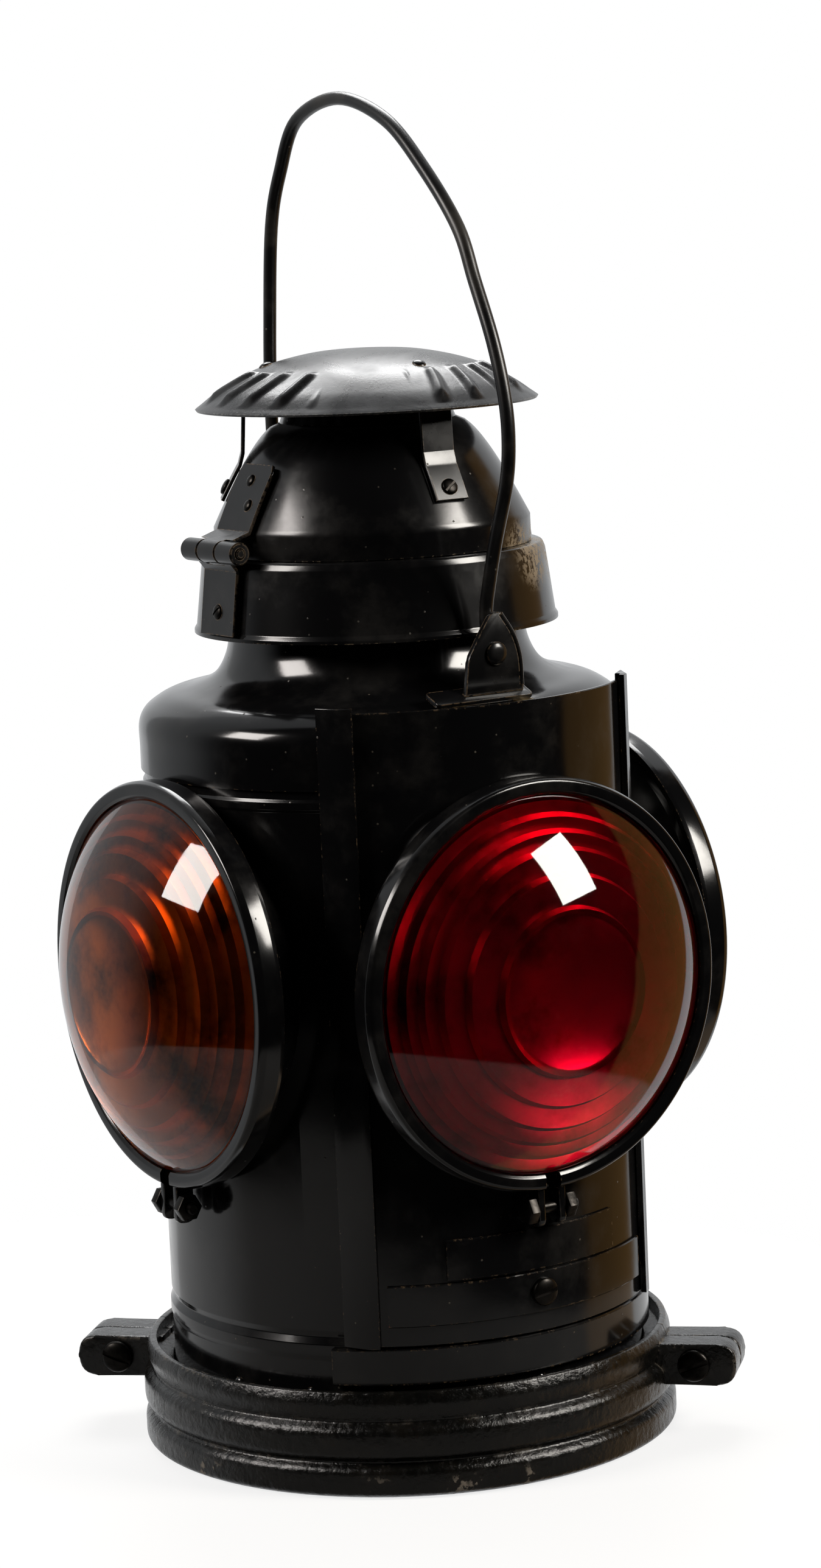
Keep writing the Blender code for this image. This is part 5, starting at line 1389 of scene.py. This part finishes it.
        def barrel(start: float, end: float, radius: float, ease: float) -> Piece:
            """A round of the hinge along its axis, with eased ends."""
            return turned("barrel", [(0.0, start), (radius - ease, start), (radius, start + ease),
                                     (radius, end - ease), (radius - ease, end), (0.0, end)],
                          STRAP_ENAMEL, along, 47)

        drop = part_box("hood_dome")[1].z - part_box("hood_dome")[0].z
        upper_line = [(reach, axis.z + wall)] + self.down(drop - 9.0 * MM, drop * 0.30, outset, 10)
        upper = band("upper", upper_line, self.strap_width, self.strap_thickness, STRAP_ENAMEL,
                     side,
                     lambda share: 1.0 if share < 0.93 else 0.86)
        cut(upper, barrel(-2.0 * half, ends[0][1], room, 0.0),
            barrel(ends[1][0], 2.0 * half, room, 0.0))
        cut(upper, barrel(-middle, middle, self.barrel, self.barrel_edge), operation="UNION")
        cut(upper, barrel(-2.0 * half, 2.0 * half, self.pin + self.pin_room, 0.0))
        heads = []
        for across, fall in ((-0.5 * MM, drop * 0.42), (4.0 * MM, drop * 0.60)):
            point = self.beside(fall, outset + self.strap_thickness / 2.0)
            at = facing(-QUARTER, point[1], point[0]) @ Matrix.Translation((across, 0.0, 0.0))
            heads.append(rivet("leaf_rivet", 2.2 * MM, 1.1 * MM,
                               at @ Matrix.Rotation(-point[2], 4, "X"),
                               STEEL))
        settle(join("hinge_upper_leaf", [upper] + heads), "hood", "hinge_leaf_upper")

        skirt_low, skirt_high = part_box("hood_skirt")
        foot = (skirt_high.x + outset - 0.3 * MM, skirt_low.z + 2.0 * MM)
        lower_line = [(reach, axis.z - wall),
                      (self.skirt_top + outset + 0.6 * MM, skirt_high.z - 3.0 * MM), foot]
        lower = band("lower", lower_line, self.strap_width, self.strap_thickness, STRAP_ENAMEL,
                     side)
        cut(lower, barrel(-middle - self.clearance, middle + self.clearance, room, 0.0))
        cut(lower, *(barrel(start, end, self.barrel, self.barrel_edge) for start, end in ends),
            operation="UNION")
        cut(lower, barrel(-2.0 * half, 2.0 * half, self.pin + self.pin_room, 0.0))
        spot = (foot[0] - 1.2 * MM + self.strap_thickness / 2.0, foot[1] + 8.0 * MM)
        at = facing(-QUARTER, spot[1], spot[0]) @ Matrix.Rotation(math.radians(-10.0), 4, "X")
        screw = slotted_head("leaf_screw", 2.6 * MM, 1.4 * MM, 0.7, at, STEEL)
        settle(join("hinge_lower_leaf", [lower, screw]), "lamp", "hinge_leaf_lower")
        pin = barrel(-half - 0.8 * MM, half + 0.8 * MM, self.pin, self.barrel_edge)
        pin.name = "hinge_pin_rod"
        settle(pin, "lamp", "hinge_pin")

    def latch(self) -> None:
        """The sprung strip opposite the hinge, with its two rivets and the turned-out tail."""
        outset = 1.7 * MM
        dome_low, dome_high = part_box("hood_dome")
        skirt_low, skirt_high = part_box("hood_skirt")
        drop = dome_high.z - dome_low.z
        line = self.down(drop * 0.50, drop - 9.0 * MM, outset, 8)
        line += [(self.skirt_top + outset + 1.2 * MM, skirt_high.z + 0.5 * MM),
                 (skirt_high.x + outset + 0.6 * MM, skirt_low.z + 1.0 * MM),
                 (skirt_high.x + outset + 4.5 * MM, skirt_low.z - 0.6 * MM)]
        strap = band("strap", line, 11.0 * MM, 1.0 * MM, STRAP_ENAMEL, facing(0.0))
        heads = []
        for fall in (0.56, 0.70):
            point = self.beside(drop * fall, outset + 0.5 * MM)
            at = facing(QUARTER, point[1], point[0]) @ Matrix.Rotation(-point[2], 4, "X")
            heads.append(rivet("latch_rivet", 1.8 * MM, 0.9 * MM, at, STEEL))
        settle(join("hood_latch_spring", [strap] + heads), "latch", "hood_latch")


@dataclass
class Bail:
    """The wire bail and the two ears that it swings in."""

    wire: float = 2.4 * MM
    peen: float = 4.0 * MM
    ear_plane: float = 74.0 * MM
    ear_thickness: float = 2.0 * MM
    ear_bore: float = 2.75 * MM
    # Forward of the front pivot and above it, in millimetres; then the crown; then back of the
    # rear pivot.
    front_route: tuple[Point2, ...] = (
        (-3.8, 14.0), (-1.8, 22.0), (3.6, 38.0), (11.6, 58.0), (14.0, 73.0), (12.6, 88.0),
        (7.0, 106.0),
        (-2.5, 126.0), (-11.4, 144.0), (-31.0, 164.0), (-54.0, 181.0))
    crown: Point2 = (-84.0, 189.0)
    rear_route: tuple[Point2, ...] = (
        (-36.0, 182.0), (-23.0, 164.0), (-15.0, 144.0), (-10.6, 108.0), (-9.0, 84.0), (-8.6, 60.0),
        (-5.6, 28.0), (-3.9, 14.0))

    @property
    def pivot(self) -> float:
        """The height of the bail's axis."""
        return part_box("bail_wire")[0].z + self.peen

    def build(self) -> None:
        """Make the wire, its ears and the solder under them."""
        self.make_wire()
        for tag, azimuth in (("front", 0.0), ("rear", math.pi)):
            self.make_ear(tag, azimuth)
        self.make_solder()

    def make_wire(self) -> None:
        """The bent wire, turned out through each ear and peened over."""
        plane = self.ear_plane
        out, height = plane + 1.4 * MM, self.pivot
        end = [(out, 0.0), (plane - 0.6 * MM, 0.0), (plane - 2.4 * MM, 0.5 * MM),
               (plane - 3.6 * MM, 2.2 * MM),
               (plane - 3.8 * MM, 5.0 * MM)]
        line = [(0.0, -y, height + z) for y, z in end]
        line += [(0.0, -plane - forward * MM, height + up * MM) for forward, up in self.front_route]
        line += [(0.0, -plane - self.crown[0] * MM, height + self.crown[1] * MM)]
        line += [(0.0, plane + back * MM, height + up * MM) for back, up in self.rear_route]
        line += [(0.0, y, height + z) for y, z in reversed(end)]
        wire = rod("wire", smooth_line(line, 8), self.wire, WIRE_ENAMEL, 18)
        heads = []
        for azimuth in (0.0, math.pi):
            face = plane + self.ear_thickness / 2.0 + 0.3 * MM
            section = [(0.0, 0.0), (self.peen, 0.0), (self.peen, 0.5 * MM),
                       (self.peen * 0.85, 1.1 * MM),
                       (self.peen * 0.45, 1.45 * MM), (0.0, 1.5 * MM)]
            heads.append(turned("peen", section, STRAP_ENAMEL, facing(azimuth, height, face), 32))
        settle(join("bail_handle", [wire] + heads), "bail", "bail_wire")

    def make_ear(self, tag: str, azimuth: float) -> None:
        """One pressed ear: a gusset with a turned edge, on a foot that follows the shoulder.

        Args:
            tag: Front or rear.
            azimuth: Where it stands.
        """
        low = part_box("bail_ear_" + tag)[0].z
        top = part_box("bail_ear_" + tag)[1].z
        pivot = self.pivot
        outline = rounded([
            (-13.0 * MM, low + 3.0 * MM, 0.0), (11.0 * MM, low + 3.0 * MM, 0.0),
            (10.5 * MM, pivot - 2.0 * MM, 6.0 * MM), (8.0 * MM, pivot + 6.0 * MM, 5.0 * MM),
            (3.0 * MM, top, 2.5 * MM), (-1.0 * MM, top, 2.5 * MM),
            (-6.0 * MM, pivot + 7.0 * MM, 5.0 * MM), (-11.0 * MM, pivot - 1.0 * MM, 6.0 * MM)])
        plane = facing(azimuth, 0.0, self.ear_plane)
        ear = plate("gusset", outline, self.ear_thickness, STRAP_ENAMEL, plane, 0.4 * MM)
        corner = facing(azimuth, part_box("body_top")[0].z + 27.0 * MM, 73.0 * MM)
        tilt = Matrix.Rotation(math.radians(23.0), 4, "X")
        strip = rounded([(*point, 1.5 * MM) for point in oblong(-26.0 * MM, 13.0 * MM, -4.5 * MM,
                                                                4.5 * MM)])
        lie = Matrix.Translation((0.0, 1.2 * MM, 0.0)) @ Matrix.Rotation(QUARTER, 4, "X")
        foot = plate("foot", strip, 1.6 * MM, STRAP_ENAMEL, corner @ tilt @ lie, 0.4 * MM)
        cut(ear, foot, operation="UNION")
        bore = turned("bore", cylinder(self.ear_bore, 60.0 * MM, 90.0 * MM), STRAP_ENAMEL,
                      facing(azimuth, pivot), 31)
        cut(ear, bore)
        edge = smooth_line([(10.4 * MM, low + 4.5 * MM), (10.0 * MM, pivot - 2.0 * MM),
                            (7.5 * MM, pivot + 6.0 * MM), (2.7 * MM, top - 0.6 * MM)], 6)
        bead = rod("bead", [plane @ Vector((x, y, 0.6 * MM)) for x, y in edge], 0.9 * MM,
                   STRAP_ENAMEL, 10)
        settle(join("pressed_ear_" + tag, [ear, bead]), "lamp", "bail_ear_" + tag)

    def make_solder(self) -> None:
        """Two flat blobs of soft solder that hold each ear's foot to the shoulder."""
        for tag, azimuth in (("front", 0.0), ("rear", math.pi)):
            blobs = []
            for across, drop, reach in ((-17.0 * MM, 0.4 * MM, 77.5 * MM),
                                        (9.5 * MM, 0.6 * MM, 78.5 * MM)):
                at = facing(azimuth + math.asin(across / reach),
                            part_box("body_top")[0].z + 24.6 * MM - drop,
                            reach)
                lean = Matrix.Rotation(math.radians(-64.0), 4, "X")
                flat = Matrix.Diagonal((1.35, 1.0, 1.0, 1.0))
                dome = [(0.0, -1.5 * MM), (4.0 * MM, -1.5 * MM), (4.0 * MM, 0.0),
                        (3.4 * MM, 0.7 * MM),
                        (2.2 * MM, 1.2 * MM), (0.0, 1.5 * MM)]
                blobs.append(turned("blob", dome, SOLDER, at @ lean @ flat, 32))
            settle(join("solder_blobs_" + tag, blobs), "lamp")


@dataclass
class BaseRing:
    """The cast ring in two halves, clamped at its lugs by slotted screws and square nuts."""

    drum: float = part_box("base_pan")[1].x + 1.2 * MM
    height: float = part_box("base_ring_front")[1].z
    split: float = 0.4 * MM
    lug_low: float = 18.0 * MM
    lug_high: float = 33.0 * MM
    lug_reach: float = 36.5 * MM
    lug_thickness: float = 12.0 * MM
    screw_reach: float = 21.5 * MM
    head: float = 5.75 * MM
    head_height: float = 3.2 * MM
    lug_bore: float = 3.35 * MM
    lug_edge: float = 1.1 * MM
    nut_half: float = 5.5 * MM
    nut_thickness: float = 4.5 * MM
    nut_bore: float = 3.3 * MM

    def build(self) -> None:
        """Make both halves, then the screws and nuts."""
        self.half("front", -135.0, ((45.0, 1.0), (-135.0, -1.0)))
        self.half("rear", 45.0, ((45.0, -1.0), (-135.0, 1.0)))
        for tag, azimuth in (("right", 45.0), ("left", -135.0)):
            self.fastener(tag, azimuth)

    def lug_side(self, azimuth: float) -> Matrix:
        """The place whose Z runs through the lugs at an azimuth in degrees."""
        return facing(math.radians(azimuth - 90.0))

    def section(self) -> list[Point2]:
        """The ring's section: lip, grip, trough, three beads and the hollows between them."""
        r, top = self.drum, self.height
        trough, bead, waist = r + 6.3 * MM, r + 11.5 * MM, r + 8.1 * MM
        return rounded([
            (trough, top, 0.8 * MM), (waist + 0.5 * MM, top, 0.9 * MM),
            (bead - 1.2 * MM, top - 4.5 * MM, 4.0 * MM), (waist, top - 10.6 * MM, 1.2 * MM),
            (bead, top - 13.2 * MM, 4.6 * MM), (bead, top - 22.0 * MM, 4.6 * MM),
            (waist, top - 24.7 * MM, 1.2 * MM), (bead, top - 27.2 * MM, 3.6 * MM),
            (bead, 1.5 * MM, 3.6 * MM), (bead - 3.0 * MM, 0.0, 0.8 * MM),
            (r - 5.5 * MM, 0.0, 0.5 * MM), (r - 5.5 * MM, 7.5 * MM, 0.5 * MM),
            (r + 0.35 * MM, 7.5 * MM, 0.3 * MM), (r + 0.35 * MM, 29.5 * MM, 0.8 * MM),
            (trough, 31.5 * MM, 1.0 * MM)])

    def half(self, tag: str, start: float, lugs: Sequence[tuple[float, float]]) -> None:
        """One half of the ring with a lug at each end.

        Args:
            tag: Front or rear.
            start: The azimuth where it starts, in degrees.
            lugs: Each lug's azimuth in degrees, and the side of the split that it stands on.
        """
        ease = self.split / 2.0 / self.drum
        name = "cast_ring_" + tag
        ring = turned(name, self.section(), CASTING, None, 190, math.radians(start) + ease,
                      math.pi - 2.0 * ease)
        root, tip = self.drum + 4.3 * MM, self.drum + self.lug_reach
        outline = rounded([(root, self.lug_low, 0.0), (tip, self.lug_low, 7.0 * MM),
                           (tip, self.lug_high, 7.0 * MM), (root, self.lug_high, 0.0)])
        for azimuth, side in lugs:
            place = self.lug_side(azimuth)
            shift = Matrix.Translation((0.0, 0.0, side * (self.lug_thickness + self.split) / 2.0))
            lug = plate("lug", outline, self.lug_thickness, CASTING, place @ shift, self.lug_edge)
            cut(ring, lug, operation="UNION")
        bore = cylinder(self.lug_bore, -40.0 * MM, 40.0 * MM)
        middle = (self.lug_low + self.lug_high) / 2.0
        for azimuth, _ in lugs:
            across = self.lug_side(azimuth) @ Matrix.Translation(
                (self.drum + self.screw_reach, middle, 0.0))
            cut(ring, turned("bore", bore, CASTING, across, 31))
        settle(ring, "lamp", "base_ring_" + tag)

    def fastener(self, tag: str, azimuth: float) -> None:
        """The slotted screw and the square nut through one pair of lugs.

        Args:
            tag: Right or left.
            azimuth: The lugs' azimuth in degrees.
        """
        hand = 1.0 if tag == "right" else -1.0
        turn = Matrix.Identity(4) if tag == "right" else Matrix.Rotation(math.pi, 4, "Y")
        at = self.lug_side(azimuth) @ Matrix.Translation(
            (self.drum + self.screw_reach, (self.lug_low + self.lug_high) / 2.0, 0.0)) @ turn
        seat = self.lug_thickness + self.split / 2.0 + 0.3 * MM
        head = slotted_head("head", self.head, self.head_height, 0.35 * hand, Matrix.Identity(4),
                            STEEL)
        head.data.transform(at @ Matrix.Translation((0.0, 0.0, seat)))
        shank = turned("shank", [(0.0, -seat - 7.0 * MM), (2.6 * MM, -seat - 7.0 * MM),
                                 (3.0 * MM, -seat - 6.4 * MM), (3.0 * MM, seat), (0.0, seat)],
                                 STEEL, at, 28)
        settle(join("lug_clamp_screw_" + tag, [head, shank]), "lamp", "lug_screw_" + tag)
        half = self.nut_half
        square = rounded([(*point, 0.8 * MM) for point in oblong(-half, half, -half, half)])
        nut = plate("lug_square_nut_" + tag, square, self.nut_thickness, STEEL,
                    at @ Matrix.Translation((0.0, 0.0, -seat - self.nut_thickness / 2.0)), 0.5 * MM)
        bore = turned("bore", cylinder(self.nut_bore, -60.0 * MM, 0.0),
                      STEEL, at, 27)
        settle(cut(nut, bore), "lamp", "lug_nut_" + tag)


@dataclass
class Works:
    """The oil fount, burner and chimney inside the drum."""

    fount_wall: float = 0.9 * MM
    fount_corner: float = 6.0 * MM
    fount_mouth: float = 9.0 * MM
    filler_bore: float = 8.0 * MM
    filler_offset: float = 29.0 * MM

    def build(self) -> None:
        """Dress every inner piece in its own metal or cotton."""
        self.fount()
        dress("draught_tube", TINPLATE)
        for node in ("filler_cap", "burner", "wick_spindle", "wick_knob", "fount_spring"):
            dress(node, BRASS)
        dress("wick", WovenWick("plaited_cotton_wick", tip_height=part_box("wick")[1].z))

    def fount(self) -> None:
        """The oil fount: a drawn can with rolled corners and a filler hole in its top."""
        low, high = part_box("oil_fount")
        wall, corner, mouth = self.fount_wall, self.fount_corner, self.fount_mouth
        r, bend = high.x, corner - wall
        section = rounded([
            (0.0, low.z, 0.0), (r, low.z, corner), (r, high.z, corner), (mouth, high.z, 0.0),
            (mouth, high.z - wall, 0.0), (r - wall, high.z - wall, bend),
            (r - wall, low.z + wall, bend),
            (0.0, low.z + wall, 0.0),
        ])
        can = turned("oil_can", section, TINPLATE)
        ring = cylinder(self.filler_bore, high.z - corner, high.z + corner)
        hole = turned("hole", ring, TINPLATE, Matrix.Translation((-self.filler_offset, 0.0, 0.0)),
                      23)
        settle(cut(can, hole), "lamp", "oil_fount")


@dataclass(frozen=True)
class Softbox:
    """A soft rectangular light. Angles are in degrees, lengths in metres and power in watts."""

    name: str
    azimuth: float
    elevation: float
    away: float
    width: float
    height: float
    power: float
    colour: str


SOFTBOXES = (
    Softbox("right_softbox", 38.0, 30.5, 1.6, 0.52, 0.60, 24.0, "#fffaf2"),
    Softbox("left_softbox", -103.0, 32.0, 1.7, 0.60, 0.58, 19.0, "#fff9f4"),
    Softbox("overhead", 150.0, 52.0, 1.5, 0.9, 0.6, 16.0, "#ffffff"),
)


@dataclass
class Studio:
    """A pale table, a white backdrop behind, a dark room in front, three lights and the camera."""

    floor_radius: float = 0.375
    floor_middle: tuple[float, float, float] = (-0.10, 0.02, 0.0)
    floor_cover: float = 0.2
    middle: float = 0.22
    focal_length: float = 104.4
    sensor: float = 36.0
    eye: tuple[float, float, float] = (-0.8533, -1.3524, 0.4711)
    # The camera's turn about Z, its tilt about X and its roll about Z, in degrees.
    turn_tilt_roll: tuple[float, float, float] = (-32.59, 81.53, -2.515)

    def build(self) -> None:
        """Set the floor, world, lights and camera."""
        self.floor()
        self.world()
        for softbox in SOFTBOXES:
            self.light(softbox)
        self.camera()

    def floor(self) -> None:
        """A round table top of white translucent sheet that ends near the lamp."""
        paper = bpy.data.materials.new("white_paper_table")
        paper.use_nodes = True
        tree = paper.node_tree
        shader = tree.nodes["Principled BSDF"]
        shader.inputs["Base Color"].default_value = linear("#fbfaf8")
        shader.inputs["Roughness"].default_value = 0.8
        place = add(tree, "ShaderNodeTexCoord").outputs["Object"]
        away = add(tree, "ShaderNodeVectorMath", {0: place, 1: self.floor_middle},
                   operation="DISTANCE").outputs["Value"]
        edge = step_mask(tree, away, self.floor_radius, self.floor_radius - 0.02)
        tree.links.new(combine(tree, "MULTIPLY", edge, self.floor_cover), shader.inputs["Alpha"])
        shape = bmesh.new()
        bmesh.ops.create_circle(shape, cap_ends=True, segments=96, radius=self.floor_radius)
        bmesh.ops.translate(shape, vec=self.floor_middle, verts=shape.verts)
        mesh = bpy.data.meshes.new("floor")
        shape.to_mesh(mesh)
        shape.free()
        floor = bpy.data.objects.new("floor", mesh)
        floor.location.z = -0.2 * MM
        bpy.context.scene.collection.objects.link(floor)
        mesh.materials.append(paper)

    def world(self) -> None:
        """White to look at; as light, a pale backdrop behind and a brown screen at the right."""
        world = bpy.data.worlds.new("studio")
        bpy.context.scene.world = world
        world.use_nodes = True
        tree = world.node_tree
        tree.nodes.clear()
        ray = add(tree, "ShaderNodeTexCoord").outputs["Generated"]
        parts = add(tree, "ShaderNodeSeparateXYZ", {"Vector": ray})
        ahead = add(tree, "ShaderNodeMath", {0: parts.outputs["Y"], 1: -1.0}, operation="MULTIPLY")
        azimuth = add(tree, "ShaderNodeMath", {0: parts.outputs["X"], 1: ahead.outputs[0]},
                      operation="ARCTAN2").outputs[0]
        height = add(tree, "ShaderNodeMath", {0: parts.outputs["Z"]},
                     operation="ARCSINE").outputs[0]
        right = step_mask(tree, azimuth, math.radians(101.0), math.radians(103.0))
        left = step_mask(tree, azimuth, math.radians(-108.0), math.radians(-140.0))
        lean = add(tree, "ShaderNodeMath", {0: height, 1: math.radians(5.0)},
                   operation="ADD").outputs[0]
        lean = add(tree, "ShaderNodeMath", {0: lean, 1: 0.0}, operation="MAXIMUM").outputs[0]
        edge = add(tree, "ShaderNodeMath", {0: lean, 1: -0.6, 2: azimuth},
                   operation="MULTIPLY_ADD").outputs[0]
        screen = combine(tree, "MULTIPLY",
                         step_mask(tree, edge, math.radians(60.0), math.radians(63.0)),
                         step_mask(tree, height, math.radians(52.0), math.radians(46.0)))
        colour = blend_colour(tree, screen, linear("#060607"), linear("#a07840"))
        colour = blend_colour(tree, left, colour, linear("#b4b6b8"))
        colour = blend_colour(tree, right, colour, linear("#eef0f2"))
        room = add(tree, "ShaderNodeBackground", {"Color": colour, "Strength": 0.9})
        white = add(tree, "ShaderNodeBackground", {"Color": linear("#ffffff"), "Strength": 1.0})
        seen = add(tree, "ShaderNodeLightPath").outputs["Is Camera Ray"]
        mix = add(tree, "ShaderNodeMixShader", {0: seen, 1: room.outputs[0], 2: white.outputs[0]})
        add(tree, "ShaderNodeOutputWorld", {"Surface": mix.outputs[0]})
        bpy.context.scene.view_settings.view_transform = "Standard"

    def light(self, softbox: Softbox) -> None:
        """A soft rectangular light that looks at the lamp's middle.

        Args:
            softbox: Its place, size, power and colour.
        """
        data = bpy.data.lights.new(softbox.name, "AREA")
        data.shape, data.size, data.size_y = "RECTANGLE", softbox.width, softbox.height
        data.energy = softbox.power
        data.color = linear(softbox.colour)[:3]
        box = bpy.data.objects.new(softbox.name, data)
        turn, rise = math.radians(softbox.azimuth), math.radians(softbox.elevation)
        out = Vector((math.sin(turn) * math.cos(rise), -math.cos(turn) * math.cos(rise),
                      math.sin(rise)))
        box.location = Vector((0.0, 0.0, self.middle)) + out * softbox.away
        box.rotation_euler = (-out).to_track_quat("-Z", "Y").to_euler()
        bpy.context.scene.collection.objects.link(box)

    def camera(self) -> None:
        """A long lens from the left front, a little above the lenses."""
        data = bpy.data.cameras.new("camera")
        data.lens, data.sensor_width = self.focal_length, self.sensor
        eye = bpy.data.objects.new("camera", data)
        turn, tilt, roll = (Matrix.Rotation(math.radians(angle), 4, axis)
                            for angle, axis in zip(self.turn_tilt_roll, "ZXZ"))
        eye.matrix_world = Matrix.Translation(self.eye) @ turn @ tilt @ roll
        bpy.context.scene.collection.objects.link(eye)
        bpy.context.scene.camera = eye


def main() -> None:
    """Build every sub-assembly in order."""
    logging.basicConfig(level=logging.INFO, format="%(name)s: %(message)s")
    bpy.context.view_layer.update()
    Studio().build()
    BaseRing().build()
    Body().build()
    for side, glass, back in ((Side.DOOR, RUBY, RUBY_BACK), (Side.REAR, RUBY, RUBY_BACK),
                              (Side.LEFT, AMBER, AMBER_BACK), (Side.RIGHT, AMBER, AMBER_BACK)):
        Lens(side, glass, back).build()
    Door().build()
    Hood().build()
    Bail().build()
    Works().build()


if __name__ == "__main__":
    main()
